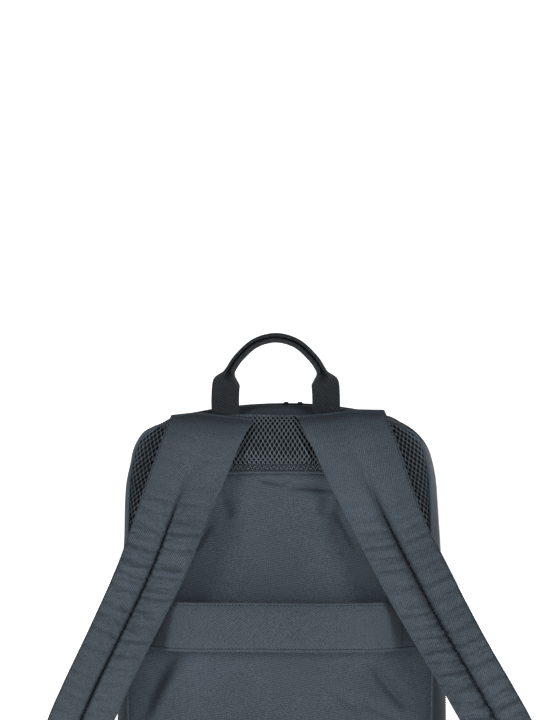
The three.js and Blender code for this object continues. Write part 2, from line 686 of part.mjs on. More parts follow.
function lowerWebbing(side, holder) {
  const sign = side === "left" ? -1 : 1;
  const toWorld = (y, z) => point(0, y, z).applyMatrix4(holder.matrixWorld);
  const lockWidth = point(1, 0, 0).transformDirection(holder.matrixWorld);
  const local = throughLock().map(([y, z]) => ({ at: toWorld(y, z), width: lockWidth }));
  const anchor = point(sign * ANCHOR.x, BACK_Y - ANCHOR.stand, ANCHOR.z);
  const SLANT = Math.SQRT1_2; // it arrives at the seam at 45 degrees
  const SLACK = 14;
  const arrival = point(-sign * SLANT, 0, -SLANT);
  const seamWidth = point(SLANT, 0, -sign * SLANT);
  const downLock = toWorld(0, -1).sub(toWorld(0, 0));
  const slack = new THREE.CubicBezierCurve3(
    anchor,
    anchor.clone().addScaledVector(arrival, -SLACK),
    local[0].at.clone().addScaledVector(downLock, SLACK),
    local[0].at,
  );
  const REACH_STEPS = 9;
  const load = steps(REACH_STEPS)
    .slice(0, -1)
    .map((t) => ({
      at: slack.getPoint(t),
      width: seamWidth.clone().lerp(lockWidth, smoothstep(t, 0, 1)).normalize(),
    }));
  return ribbon([...load, ...local], WEBBING.wide, WEBBING.thick);
}

for (const side of ["left", "right"]) {
  const end = STRAP[STRAP.length - 1];
  const sign = side === "left" ? -1 : 1;
  const holder = new THREE.Group();
  const middle = (end[`outer_${side}`] + end[`inner_${side}`]) / 2;
  const strapEnd = SEAM_TOP - end.drop;
  holder.position.set(sign * middle, BACK_Y - end.stand - end.thick / 2, strapEnd - GAP - TAB.reach);
  const tilt = sign * degToRad(LOCK_TILT[side]);
  holder.rotation.y = tilt;
  backpack.add(holder);
  holder.updateMatrixWorld(true);
  addPiece(`ladder_lock_${side}`, ladderLock(), MATERIALS.plastic, holder);
  addPiece(`adjuster_tab_${side}`, adjusterTab(tilt), MATERIALS.webbing, holder);
  addPiece(`lower_webbing_${side}`, lowerWebbing(side, holder), MATERIALS.webbing);
}

export default backpack;
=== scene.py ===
import math

import bmesh
import bpy
import numpy as np
from bpy.props import FloatProperty, FloatVectorProperty, IntProperty, PointerProperty
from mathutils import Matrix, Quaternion, Vector


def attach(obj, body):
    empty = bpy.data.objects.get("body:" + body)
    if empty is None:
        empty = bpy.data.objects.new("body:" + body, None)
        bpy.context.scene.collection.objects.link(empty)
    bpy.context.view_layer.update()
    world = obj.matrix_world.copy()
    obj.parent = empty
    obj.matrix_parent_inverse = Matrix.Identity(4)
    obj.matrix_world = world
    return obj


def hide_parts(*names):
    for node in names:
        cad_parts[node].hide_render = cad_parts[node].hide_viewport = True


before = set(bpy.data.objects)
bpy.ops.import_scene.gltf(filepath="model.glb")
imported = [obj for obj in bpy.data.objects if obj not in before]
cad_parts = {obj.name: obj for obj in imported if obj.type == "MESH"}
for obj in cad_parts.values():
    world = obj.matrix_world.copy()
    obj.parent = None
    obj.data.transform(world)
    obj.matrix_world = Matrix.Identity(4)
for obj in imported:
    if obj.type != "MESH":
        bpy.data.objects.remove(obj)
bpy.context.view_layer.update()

bl_info = {
    "name": "Laptop backpack",
    "version": (1, 0, 0),
    "blender": (4, 5, 0),
    "location": "View3D > Sidebar > Backpack",
    "description": "Dresses a laptop backpack in nylon, air mesh, webbing, a zip and stitching",
    "category": "Add Mesh",
}

MM = 0.001
BODY = "root"
CLOTH_UV = "cloth"
OUT = "out"
SIDES = ("left", "right")
BACKWARD = np.array([0.0, -1.0, 0.0])

# Sizes of the body, in millimetres. The wearer's side faces -Y.

BODY_HEIGHT = 450.0
BASE_DEPTH = 140.0
TOP_DEPTH = 112.0
BACK_Y = -BASE_DEPTH / 2
CLOTH = 3.0
BASE_PAD = 5.0
GAP = 0.4
TOP_PULL = 7.0
SEAM_TOP = BODY_HEIGHT - TOP_PULL

# Half of the body's outline: each arc's radius and turn, and how far the back seam lies inside it
# at the arc's end. The lower side's radius follows from the height.
OUTLINE = (
    ("top", 420.0, 14.0, 0.5),
    ("shoulder_high", 58.0, 26.0, -2.0),
    ("shoulder_low", 46.0, 34.0, 2.5),
    ("upper_side", 150.0, 12.0, 4.5),
    ("lower_side", None, 5.0, 16.0),
    ("base_corner", 40.0, 89.0, 3.0),
)
# How far the front seam lies inside the outline high up and at the base, and the shares of the depth
# over which the gusset rounds in to its two seams at the base and high up, which is from this height.
FRONT_PULL_HIGH = 16.0
FRONT_PULL_BASE = 5.0
BACK_ROUNDING = (0.06, 0.3)
FRONT_ROUNDING = (0.1, 0.38)
ROUNDING_SETTLES = 90.0

# At its top the back rolls over towards the front, from this height up.
ROLL_FROM = 418.0
ROLL_REACH = 26.0
ROLL_DEPTH = 16.0
ROLL_ENDS = 0.45
ROLL_LIMIT = 0.97

# Swell of the gusset over the top, and for the back panels and the front: how far they fall back at
# their seam and over which width, their crown, and how flat its middle is.
TOP_SWELL = 2.4
PANEL_EDGE = 3.0
PANEL_CROWN = 5.0
PANEL_SHARP = 6
PANEL_ROUND = 8.0
FRONT_CROWN = 16.0
FRONT_SHARP = 4
# The air mesh bulges between the straps: how far, and how far in from the straps, the seam and the hem
# it is full. Its edge falls back by this much more than the lower panel's, to leave room for the knit.
MESH_BULGE = 8.0
BULGE_FROM_STRAPS = 12.0
BULGE_FROM_SEAM = 46.0
BULGE_FROM_HEM = 12.0
MESH_EDGE = 1.6
# Least thickness of the two panels at their edges, and how far in from the seam creases are full.
MESH_LEAST = 0.5
LOWER_LEAST = 0.6
CREASES_CLEAR = 30.0
# The panels roll in to the hem over this width, by this much. The hem's height at its middle, its fall
# to the sides over that half width, its tape's height, and the length of one turn of its zigzag.
HEM_ROLL = 8.0
HEM_SINK = 2.8
HEM_HEIGHT = 394.2
HEM_DROP = 54.0
HEM_HALF_WIDTH = 138.0
HEM_TAPE = 9.0
HEM_ZIGZAG = 4.4

# Folds of the lower back panel: x, z, length and width, lean from level in degrees, and rise.
FOLDS = (
    (44, 376, 30, 7, 3, -2.2),
    (-50, 350, 24, 9, -64, -2.4),
    (58, 352, 22, 9, 66, -2.0),
    (-101, 194, 40, 11, 58, 4.5),
    (-92, 160, 22, 12, 20, -3.5),
    (102, 195, 26, 10, -52, -4.0),
    (90, 176, 30, 11, -40, 3.0),
)

# Creases of the same panel, in the same form. Each is steeper on its lower side, by this much.
CREASE_STEEP = 1.5
CREASES = (
    (30, 376.5, 19, 3.4, -4, -4.2),
    (-7, 382, 10, 3.0, -13, -3.0),
    (7, 383, 5, 2.8, 41, -2.6),
    (-50, 359, 9, 6.0, -58, -3.0),
    (43, 361, 10, 6.0, 62, -3.0),
    (-72, 330, 18, 4.5, 58, -2.4),
    (62, 338, 18, 4.5, -62, -2.2),
    (-117, 184, 32, 8.0, 64, -4.2),
    (-102, 180, 27, 8.0, 67, 3.0),
    (101, 193, 24, 5.5, -52, -4.2),
    (88, 172, 22, 5.0, -24, -3.4),
    (64, 178, 16, 4.5, -38, -2.4),
)

ZIP_WIDTH = 8.0
ZIP_THICK = 2.0
ZIP_TEETH = 3.2

# Shoulder straps by level: drop below the back seam's top, edges from the middle on each side,
# stand of the body-side face off the seam plane, and thickness.
STRAP_HEAD = ("drop", "outer_left", "inner_left", "outer_right", "inner_right", "stand", "thick")
STRAP = (
    (-2, 101, 25, 97, 16, 4.6, 4),
    (6, 104, 28, 101, 20, 4.8, 11),
    (28, 111, 37, 111, 31, 7, 16),
    (60, 122, 50, 122, 46, 13, 16.5),
    (98, 135, 66, 137, 66, 20, 15),
    (133, 147, 80, 155, 84, 26, 13.6),
    (170, 163, 97, 174, 104, 30, 13),
    (207, 180, 116, 194, 126, 33, 13),
    (245, 198, 135, 216, 149, 34, 13),
    (280, 213, 151, 235, 169, 33, 13),
    (302, 218, 164, 242, 183, 31, 12),
    (312, 216, 171, 241, 191, 31, 11),
    (318, 210, 178, 236, 199, 31, 9),
)
STRAP_EDGE = 3.0
# Lean of the straps' cross folds on their inner and outer halves, from level at 0 to square to the
# strap at 1.
FOLD_LEAN = (0.3, 0.85)
# Share of a cross fold's pitch at which its rounded crest lies. At a half, both its sides are alike.
FOLD_CREST = 0.52
# The stitched line down each strap lies in a soft valley. Drop at which each starts and is full, their
# shares of the groove's depth, and half widths.
GROOVE_STARTS = (30.0, 118.0)
VALLEY_STARTS = (16.0, 84.0)
GROOVE_SHARE = 0.7
VALLEY_SHARE = 0.4
VALLEY_HALF = {"left": 7.0, "right": 5.0}
GROOVE_HALF = {"left": 1.9, "right": 2.6}
# Rise of each strap's sewn top from its inner edge to its outer one.
STRAP_TOP = {"left": (-4.4, -1.5, 1.6, -1.2), "right": (-1.5, 1.0, 4.4, 4.0)}

BAND_MIDDLE = 250.5
BAND_HEIGHT = 46.0
BAND_THICK = 2.5
BAND_HEAD = ("x", "stand")
BAND_STAND = (
    (0, 28), (66, 28), (80, 27.7), (92, 25.6), (102, 20.5), (110, 13.5), (118, 6.5), (127, 1.8), (139, 0.6))

# Carry handle from its sewn end past the top of its arch: distance from its middle, and height.
HANDLE_STAND = 2.0
HANDLE_SHIFT = -4.0
HANDLE_WIDE = 26.0
HANDLE_THICK = 2.2
# The grip's folds of the lower and upper half, in degrees, the width that bends, and its sag.
GRIP_FOLD = (114.0, 97.0)
GRIP_BEND = 6.4
GRIP_DROP = 0.5
HANDLE_HEAD = ("at", "out", "z")
HANDLE = (
    (0 / 7, 46.5, 443.7),
    (1 / 7, 47.0, 456.0),
    (2 / 7, 46.4, 470.0),
    (3 / 7, 44.6, 479.0),
    (4 / 7, 41.0, 488.0),
    (5 / 7, 33.5, 498.5),
    (6 / 7, 19.0, 511.0),
    (7 / 7, 0.0, 516.0),
    (8 / 7, -19.0, 511.0),
)


# Settings that a user would change

def length_property(name, description, length, least=0.0):
    return FloatProperty(name=name, description=description, default=length, min=least, unit="LENGTH")


def angle_property(name, description, degrees):
    return FloatProperty(
        name=name, description=description, default=math.radians(degrees), subtype="ANGLE")


def power_property(name, description, power):
    return FloatProperty(name=name, description=description, default=power, min=0.0)


class BackpackSizes(bpy.types.PropertyGroup):
    """Sizes of the cloth details"""
    mesh_pitch: length_property("Mesh pitch", "Between holes of the air mesh, across the bag", 0.00425, 0.001)
    mesh_row: length_property("Mesh row", "Between rows of holes of the air mesh", 0.0037, 0.001)
    mesh_rise: length_property("Mesh rise", "Height of the knitted strands over their backing", 0.0012)
    stitch_pitch: length_property("Stitch pitch", "From one stitch to the next", 0.0032, 0.001)
    stitch_width: length_property("Thread", "Width of the sewing thread", 0.0008, 0.0001)
    tooth_pitch: length_property("Zip pitch", "From one turn of the zip's coil to the next", 0.0021, 0.0005)
    piping: length_property("Piping", "Radius of the piping in the body's seams", 0.0016, 0.0005)
    groove: length_property("Strap groove", "Depth of the stitched groove down each strap", 0.0078)
    pucker_left: length_property("Left puckers", "Depth of the cross folds of the left strap", 0.0044)
    pucker_right: length_property("Right puckers", "Depth of the cross folds of the right strap", 0.0060)
    seed: IntProperty(name="Seed", description="Changes how the soft cloth lies", default=4, min=0)


def colour_property(name, description, rgb):
    return FloatVectorProperty(
        name=name, description=description, subtype="COLOR", size=3, default=rgb, min=0.0, max=1.0)


class BackpackColours(bpy.types.PropertyGroup):
    """Colours of the materials, linear"""
    nylon: colour_property("Nylon", "Cloth of the body", (0.062, 0.081, 0.099))
    strap: colour_property("Strap nylon", "Cloth of the shoulder straps", (0.064, 0.083, 0.101))
    band: colour_property("Band cloth", "Cloth of the band across the back", (0.062, 0.080, 0.098))
    mesh: colour_property("Air mesh", "Knitted strands of the air mesh", (0.165, 0.205, 0.240))
    # The spacer's near-black colour is painted shade: it stands for the shade inside the air mesh's holes,
    # over a backing that is really there.
    spacer: colour_property("Spacer", "Backing seen through the air mesh", (0.003, 0.004, 0.006))
    webbing: colour_property("Webbing", "Handle, tape and adjusters", (0.020, 0.026, 0.033))
    plastic: colour_property("Plastic", "Locks, zip coil and pulls", (0.012, 0.013, 0.014))
    # Thread much darker than the cloth: partly its own colour, partly painted shade of the stitches' needle
    # holes.
    thread: colour_property("Thread", "Sewing thread", (0.010, 0.013, 0.017))


class BackpackStage(bpy.types.PropertyGroup):
    """Camera and light of the picture"""
    azimuth: angle_property("Azimuth", "Camera's turn round the bag from its back", 2.5)
    elevation: angle_property("Elevation", "Camera's angle above the level", 5.0)
    distance: length_property("Distance", "From the camera to the middle of the back", 3.5, 0.5)
    lens: FloatProperty(name="Lens", description="Focal length in millimetres", default=188.1, min=20.0)
    key: power_property("Key light", "Power of the large front light", 7.0)
    side: power_property("Side lights", "Power of the two side lights", 35.0)
    far: power_property("Far light", "Power of the light on the bag's far side", 30.0)
    glow: power_property("Floor glow", "Light that the floor gives off round the bag", 0.7)
    sky: power_property("Surrounding", "Strength of the white surrounding", 0.02)
    floor: colour_property("Floor", "Pale floor and backdrop", (0.90, 0.90, 0.90))


def settings():
    return bpy.context.scene.backpack_sizes


# Plain numbers

def smooth(value, low, high):
    """Smooth step from 0 at low to 1 at high."""
    t = np.clip((np.asarray(value, float) - low) / (high - low), 0.0, 1.0)
    return t * t * (3.0 - 2.0 * t)


def hermite(head, rows, name, at):
    """A smooth curve through one column of a table, read against its first column."""
    known = np.array([row[0] for row in rows], float)
    value = np.array([row[head.index(name)] for row in rows], float)
    last = len(rows) - 1
    i = np.clip(np.searchsorted(known, at) - 1, 0, last - 1)
    before = np.maximum(i - 1, 0)
    after = np.minimum(i + 2, last)
    span = known[i + 1] - known[i]
    t = np.clip((at - known[i]) / span, 0.0, 1.0)
    slope_a = (value[i + 1] - value[before]) / (known[i + 1] - known[before]) * span
    slope_b = (value[after] - value[i]) / (known[after] - known[i]) * span
    values = value[i] * (2 * t**3 - 3 * t**2 + 1) + value[i + 1] * (3 * t**2 - 2 * t**3)
    slopes = slope_a * (t**3 - 2 * t**2 + t) + slope_b * (t**3 - t**2)
    return values + slopes


def wander(at, seed):
    """A smooth irregular number between about -1 and 1 along a line."""
    slow = np.sin(at + 1.7 * seed)
    middling = 0.6 * np.sin(2.17 * at + 2.9 * seed)
    fast = 0.4 * np.sin(3.91 * at + seed)
    return (slow + middling + fast) / 2.0


# Waves that make up a ripple, and the turn from one to the next in radians.
RIPPLE_WAVES = 6
RIPPLE_TURN = 2.399963


def ripple(x, z, size, seed):
    """A smooth irregular number between about -1 and 1 over a surface, with swells of about that size."""
    total = 0.0
    for number in range(RIPPLE_WAVES):
        heading = RIPPLE_TURN * (number + seed)
        pace = 2 * math.pi / (size * (0.75 + 0.16 * number))
        way = x * math.cos(heading) + z * math.sin(heading)
        total = total + np.sin(pace * way + 1.3 * number * seed)
    return total / RIPPLE_WAVES


def swells(x, z, rows, seed=0):
    """Soft swells of cloth. Each row is their height, their size and what is added to the seed."""
    return sum(height * ripple(x, z, size, seed + more) for height, size, more in rows)


def crowded(columns, share):
    """Columns from -1 to 1 that lie closer together towards both ends."""
    t = np.linspace(-1.0, 1.0, columns)
    return t * (1.0 + share - share * t * t)


def run_along(path):
    """Distance along a path of points, from its start."""
    return np.concatenate([[0.0], np.cumsum(np.linalg.norm(np.diff(path, axis=0), axis=1))])


# Body shape, in millimetres

def lower_side_radius():
    """Radius of the lower side that brings the whole outline to the body's height."""
    heading, others, share = 0.0, 0.0, 0.0
    for _, radius, turn, _ in OUTLINE:
        drop = math.cos(math.radians(heading)) - math.cos(math.radians(heading + turn))
        if radius is None:
            share = drop
        else:
            others += radius * drop
        heading += turn
    return (BODY_HEIGHT - others) / share


LEAST_ARC_STEPS = 8


def half_outline(spacing, arcs):
    """Stations of the right half's outline from the top centre: x, z, outward normal and seam pull."""
    x, z, heading, pull = 0.0, BODY_HEIGHT, 0.0, TOP_PULL
    stations = []
    for name, radius, turn, end_pull in OUTLINE:
        radius = radius or lower_side_radius()
        start, start_pull = math.radians(heading), pull
        count = max(LEAST_ARC_STEPS, round(radius * math.radians(turn) / spacing))
        t = np.linspace(0.0, 1.0, count + 1)
        to = start + t * math.radians(turn)
        xs = x + radius * (np.sin(to) - math.sin(start))
        zs = z - radius * (math.cos(start) - np.cos(to))
        pulls = start_pull + t * (end_pull - start_pull)
        if name in arcs:
            rows = np.stack([xs, zs, np.sin(to), np.cos(to), pulls], axis=1)
            stations.append(rows[1:] if stations else rows)
        x, z, heading, pull = xs[-1], zs[-1], heading + turn, end_pull
    return np.concatenate(stations)


SIDE_ARCS = ("top", "shoulder_high", "shoulder_low", "upper_side", "lower_side")
ALL_ARCS = SIDE_ARCS + ("base_corner",)


def mirrored(stations):
    return stations * np.array([-1.0, 1.0, -1.0, 1.0, 1.0])


def over_the_top(spacing, arcs=SIDE_ARCS):
    """Stations from the left end of the arcs, over the top, to the right end."""
    right = half_outline(spacing, arcs)
    return np.concatenate([mirrored(right[1:])[::-1], right])


def top_roll(z):
    """How far the back has rolled in front of its plane at a height."""
    share = np.clip((np.asarray(z, float) - ROLL_FROM) / ROLL_REACH, 0.0, ROLL_LIMIT)
    return ROLL_DEPTH * (1.0 - np.sqrt(1.0 - share**2))


def depth_at(z):
    return BASE_DEPTH + (TOP_DEPTH - BASE_DEPTH) * z / BODY_HEIGHT


def gusset_points(stations, shares, sunk=0.0):
    """Points of the gusset: one row for each station, one column for each share of the depth."""
    x, z, nx, nz, pull = (stations[:, i : i + 1] for i in range(5))
    shares = np.broadcast_to(np.asarray(shares, float), (len(stations), np.shape(shares)[-1]))
    settled = smooth(z, 0.0, ROUNDING_SETTLES)
    back_reach = BACK_ROUNDING[0] + settled * (BACK_ROUNDING[1] - BACK_ROUNDING[0])
    front_reach = FRONT_ROUNDING[0] + settled * (FRONT_ROUNDING[1] - FRONT_ROUNDING[0])
    front_pull = FRONT_PULL_BASE + settled * (FRONT_PULL_HIGH - FRONT_PULL_BASE)
    back = pull * np.maximum(0.0, 1.0 - shares / back_reach) ** 2
    front = front_pull * np.maximum(0.0, 1.0 - (1.0 - shares) / front_reach) ** 2
    inset = back + front + sunk
    roll = top_roll(z - nz * pull) * np.maximum(0.0, 1.0 - shares / ROLL_ENDS) ** 2
    y = BACK_Y + shares * depth_at(z) + roll
    return np.stack([x - nx * inset, y, z - nz * inset], axis=2)


SEAM_STATIONS = half_outline(2.0, ALL_ARCS)
SEAM = gusset_points(SEAM_STATIONS, [0.0])[:, 0, :]
SEAM_PEAK = int(np.argmax(SEAM[:, 2]))
# Places that are measured against the seam at once, to spare memory.
SEAM_BATCH = 4000


def half_width(z):
    """Half width of the back seam at a height."""
    side = SEAM[SEAM_PEAK:][::-1]
    return np.interp(z, side[:, 2], side[:, 0])


def seam_distance(x, z):
    """Distance from points of the back to its seam, with the seam's outward direction there."""
    places = np.stack([np.abs(x).ravel(), z.ravel()], axis=1)
    seam = SEAM[:, [0, 2]]
    nearest = np.empty(len(places), int)
    for start in range(0, len(places), SEAM_BATCH):
        batch = slice(start, start + SEAM_BATCH)
        apart = ((places[batch, None, :] - seam[None, :, :]) ** 2).sum(axis=2)
        nearest[batch] = apart.argmin(axis=1)
    off = seam[nearest] - places
    outward = SEAM_STATIONS[nearest][:, 2:4]
    distance = np.maximum(0.0, (off * outward).sum(axis=1)).reshape(x.shape)
    out_x = outward[:, 0].reshape(x.shape) * np.where(x < 0, -1.0, 1.0)
    return distance, out_x, outward[:, 1].reshape(x.shape)


def hem_height(x):
    return HEM_HEIGHT - HEM_DROP * np.abs(x / HEM_HALF_WIDTH) ** 4


def hem_side_height(steps=40):
    """Height at which the hem meets the back seam, closed in on step by step."""
    z = HEM_HEIGHT
    for _ in range(steps):
        z = float(0.5 * (z + hem_height(half_width(z))))
    return z


HEM_SIDE = hem_side_height()


def crown_share(x, z, half, top, sharpness):
    """Share of a panel's crown at places of it, from 1 in its middle to 0 at its edges."""
    sideways = 1.0 - np.abs(x / half) ** 3
    upwards = 1.0 - np.abs(2.0 * z / top - 1.0) ** sharpness
    return np.maximum(0.0, sideways * upwards)


def fold_rise(x, z, folds, steep=1.0):
    """Rise of a table of folds at places of the back."""
    rise = 0.0
    for fold_x, fold_z, length, width, lean, height in folds:
        turn = math.radians(lean)
        along = ((x - fold_x) * math.cos(turn) + (z - fold_z) * math.sin(turn)) / length
        off = ((z - fold_z) * math.cos(turn) - (x - fold_x) * math.sin(turn)) / width
        off = np.where(off < 0, steep * off, off)
        rise = rise + height * np.exp(-(off**2) - along**4)
    return rise


def back_face(x, z):
    """Outer face of the back panel without its rounded edge."""
    share = crown_share(x, z, half_width(z), SEAM_TOP, PANEL_SHARP)
    folds = fold_rise(x, z, FOLDS) * np.minimum(1.0, 3.0 * share)
    return BACK_Y - GAP + top_roll(z) - PANEL_EDGE - PANEL_CROWN * share - folds


# Meshes

def new_object(name, mesh):
    piece = bpy.data.objects.new(name, mesh)
    bpy.context.scene.collection.objects.link(piece)
    return piece


def mesh_from(name, points, faces, uv=None):
    """A smooth mesh in metres from points in millimetres, with the cloth's own coordinates in metres."""
    mesh = bpy.data.meshes.new(name)
    mesh.from_pydata((np.asarray(points) * MM).tolist(), [], faces)
    if uv is not None:
        layer = mesh.uv_layers.new(name=CLOTH_UV)
        corners = np.empty(len(mesh.loops), np.int32)
        mesh.loops.foreach_get("vertex_index", corners)
        layer.data.foreach_set("uv", (np.asarray(uv)[corners] * MM).astype(np.float32).ravel())
    mesh.polygons.foreach_set("use_smooth", [True] * len(mesh.polygons))
    mesh.update()
    return mesh


def face_outwards(mesh):
    work = bmesh.new()
    work.from_mesh(mesh)
    bmesh.ops.recalc_face_normals(work, faces=work.faces)
    work.to_mesh(mesh)
    work.free()
    mesh.update()


def grid_faces(rows, columns, first=0):
    return [
        (first + r * columns + c, first + r * columns + c + 1,
         first + (r + 1) * columns + c + 1, first + (r + 1) * columns + c)
        for r in range(rows - 1)
        for c in range(columns - 1)
    ]


def wall_piece(name, outer, inner, uv):
    """A closed piece between two grids of points with the same rows and columns."""
    rows, columns = outer.shape[:2]
    count = rows * columns
    points = np.concatenate([outer.reshape(-1, 3), inner.reshape(-1, 3)])
    coordinates = np.concatenate([uv.reshape(-1, 2), uv.reshape(-1, 2)])
    faces = grid_faces(rows, columns)
    faces += [tuple(reversed(face)) for face in grid_faces(rows, columns, count)]
    top = list(range(columns))
    right = [r * columns + columns - 1 for r in range(1, rows)]
    bottom = [(rows - 1) * columns + c for c in range(columns - 2, -1, -1)]
    left = [r * columns for r in range(rows - 2, 0, -1)]
    rim = top + right + bottom + left
    for here, there in zip(rim, rim[1:] + rim[:1]):
        faces.append((there, here, here + count, there + count))
    mesh = mesh_from(name, points, faces, coordinates)
    face_outwards(mesh)
    return new_object(name, mesh)


def ring_faces(rings, sides):
    """Faces between closed rings of points that follow one another."""
    return [
        (r * sides + s, r * sides + (s + 1) % sides, (r + 1) * sides + (s + 1) % sides, (r + 1) * sides + s)
        for r in range(rings - 1)
        for s in range(sides)
    ]


def tube_piece(name, rings, uv):
    """A closed tube through rings with the same number of points, with flat ends."""
    count, sides = rings.shape[:2]
    faces = ring_faces(count, sides)
    faces.append(tuple(range(sides)))
    faces.append(tuple(range((count - 1) * sides, count * sides)))
    mesh = mesh_from(name, rings.reshape(-1, 3), faces, uv.reshape(-1, 2))
    face_outwards(mesh)
    return new_object(name, mesh)


def round_tube(name, path, radius, sides=10):
    """A round tube along a path, in millimetres."""
    way = np.gradient(path, axis=0)
    way /= np.linalg.norm(way, axis=1)[:, None]
    aside = np.cross(way, -BACKWARD)
    aside /= np.linalg.norm(aside, axis=1)[:, None]
    deep = np.cross(aside, way)
    turn = np.linspace(0, 2 * math.pi, sides, endpoint=False)
    ring = np.cos(turn)[None, :, None] * aside[:, None, :] + np.sin(turn)[None, :, None] * deep[:, None, :]
    rings = path[:, None, :] + radius * ring
    uv = np.stack(np.broadcast_arrays(radius * turn[None, :], run_along(path)[:, None]), axis=2)
    return tube_piece(name, rings, uv)


def box_cloth(mesh):
    """Gives a mesh cloth coordinates by the axis that each face looks along."""
    layer = mesh.uv_layers.get(CLOTH_UV) or mesh.uv_layers.new(name=CLOTH_UV)
    for face in mesh.polygons:
        axis = max(range(3), key=lambda i: abs(face.normal[i]))
        keep = [i for i in range(3) if i != axis]
        for corner in face.loop_indices:
            place = mesh.vertices[mesh.loops[corner].vertex_index].co
            layer.data[corner].uv = (place[keep[0]], place[keep[1]])


# A CAD node's triangles are joined to larger faces where they are this flat and this nearly square.
MERGE_DISTANCE = 1e-5
JOIN_FLAT = math.radians(30)
JOIN_SQUARE = math.radians(60)


def node_copy(node, name):
    """A merged copy of a CAD node, with its triangles joined to larger faces."""
    work = bmesh.new()
    work.from_mesh(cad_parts[node].data)
    bmesh.ops.remove_doubles(work, verts=work.verts, dist=MERGE_DISTANCE)
    bmesh.ops.join_triangles(
        work, faces=work.faces, angle_face_threshold=JOIN_FLAT, angle_shape_threshold=JOIN_SQUARE)
    mesh = bpy.data.meshes.new(name)
    work.to_mesh(mesh)
    work.free()
    return new_object(name, mesh)


def baked(piece):
    """Applies the piece's modifiers, so that it is a plain mesh."""
    graph = bpy.context.evaluated_depsgraph_get()
    mesh = bpy.data.meshes.new_from_object(piece.evaluated_get(graph), depsgraph=graph)
    mesh.name = piece.name
    old = piece.data
    piece.modifiers.clear()
    piece.data = mesh
    bpy.data.meshes.remove(old)
    return piece


def bevelled(node, name, width, segments, degrees):
    """A copy of a CAD node with its sharp edges rounded."""
    piece = node_copy(node, name)
    bevel = piece.modifiers.new("Bevel", "BEVEL")
    bevel.width = width
    bevel.segments = segments
    bevel.limit_method = "ANGLE"
    bevel.angle_limit = math.radians(degrees)
    return baked(piece)


# How the straps' cloth settles: the cloth itself, how much too large it is, the push of its padding, how
# far it may move in millimetres, and for how many frames.
CLOTH_SETTINGS = {
    "quality": 6,
    "mass": 0.2,
    "tension_stiffness": 12.0,
    "compression_stiffness": 12.0,
    "shear_stiffness": 5.0,
    "bending_stiffness": 0.3,
    "tension_damping": 8.0,
    "compression_damping": 8.0,
    "air_damping": 3.0,
}
CLOTH_GROWTH = 0.05
CLOTH_PRESSURE = 3.0
CLOTH_CAP = 4.0
CLOTH_FRAMES = 16


def settle(points, sewn, outward):
    """Lets a sheet of cloth settle between its sewn places: it is a little too large, and padding pushes it
    outwards. Points are a grid in millimetres."""
    rows, columns = points.shape[:2]
    faces = grid_faces(rows, columns)
    a, b, c = (points.reshape(-1, 3)[i] for i in faces[len(faces) // 2][:3])
    if np.dot(np.cross(b - a, c - b), outward) < 0:
        faces = [tuple(reversed(face)) for face in faces]
    piece = new_object("settling", mesh_from("settling", points.reshape(-1, 3), faces))
    group = piece.vertex_groups.new(name="sewn")
    group.add(np.flatnonzero(sewn.ravel()).tolist(), 1.0, "REPLACE")
    modifier = piece.modifiers.new("Cloth", "CLOTH")
    cloth = modifier.settings
    for key, value in CLOTH_SETTINGS.items():
        setattr(cloth, key, value)
    cloth.shrink_min = -CLOTH_GROWTH
    cloth.use_pressure = True
    cloth.uniform_pressure_force = CLOTH_PRESSURE
    cloth.vertex_group_mass = group.name
    cloth.effector_weights.gravity = 0.0
    modifier.collision_settings.use_collision = False
    modifier.point_cache.frame_start = 1
    modifier.point_cache.frame_end = CLOTH_FRAMES
    for number in range(1, CLOTH_FRAMES + 1):
        bpy.context.scene.frame_set(number)
    graph = bpy.context.evaluated_depsgraph_get()
    settled = piece.evaluated_get(graph).to_mesh()
    found = np.empty(3 * rows * columns, np.float32)
    settled.vertices.foreach_get("co", found)
    move = found.reshape(rows, columns, 3) / MM - points
    bpy.data.objects.remove(piece)
    bpy.context.scene.frame_set(1)
    far = np.maximum(1e-9, np.linalg.norm(move, axis=2, keepdims=True))
    return points + move * np.minimum(1.0, CLOTH_CAP / far)


def dress(piece, material, slot, *nodes):
    """Gives a piece its material and its place in the frame, and hides the CAD nodes that it stands for."""
    piece.data.materials.clear()
    piece.data.materials.append(material)
    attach(piece, BODY)
    if nodes:
        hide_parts(*nodes)
    return piece


# Node graphs

class Value:
    """A node socket that takes part in Python expressions."""

    def __init__(self, graph, socket):
        self.graph = graph
        self.socket = socket

    def math(self, operation, *others):
        inputs = {0: self}
        for i, other in enumerate(others):
            inputs[i + 1] = other
        return self.graph.add("ShaderNodeMath", {"operation": operation}, inputs)

    def __add__(self, other):
        return self.math("ADD", other)

    __radd__ = __add__

    def __mul__(self, other):
        return self.math("MULTIPLY", other)

    __rmul__ = __mul__

    def __sub__(self, other):
        return self.math("SUBTRACT", other)

    def __rsub__(self, other):
        return self.graph.add("ShaderNodeMath", {"operation": "SUBTRACT"}, {0: other, 1: self})

    def sine(self):
        return self.math("SINE")

    def capped(self, low, high):
        return self.math("MAXIMUM", low).math("MINIMUM", high)


class Graph:
    """A node tree, with one method that adds any node."""

    def __init__(self, tree):
        self.tree = tree

    def add(self, kind, settings=None, inputs=None, output=0):
        node = self.tree.nodes.new(kind)
        for key, value in (settings or {}).items():
            setattr(node, key, value)
        for key, value in (inputs or {}).items():
            if isinstance(value, Value):
                self.tree.links.new(value.socket, node.inputs[key])
            else:
                node.inputs[key].default_value = value
        return Value(self, node.outputs[output]) if node.outputs else None

    def other(self, value, output):
        """Another output of the node that a value comes from."""
        return Value(self, value.socket.node.outputs[output])

    def parts(self, vector):
        """The three numbers of a vector."""
        split = self.add("ShaderNodeSeparateXYZ", inputs={0: vector})
        return split, self.other(split, 1), self.other(split, 2)

    def joined(self, x, y, z):
        return self.add("ShaderNodeCombineXYZ", inputs={0: x, 1: y, 2: z})

    def place(self):
        """The object's own coordinates, in metres."""
        return self.add("ShaderNodeTexCoord", output=3)


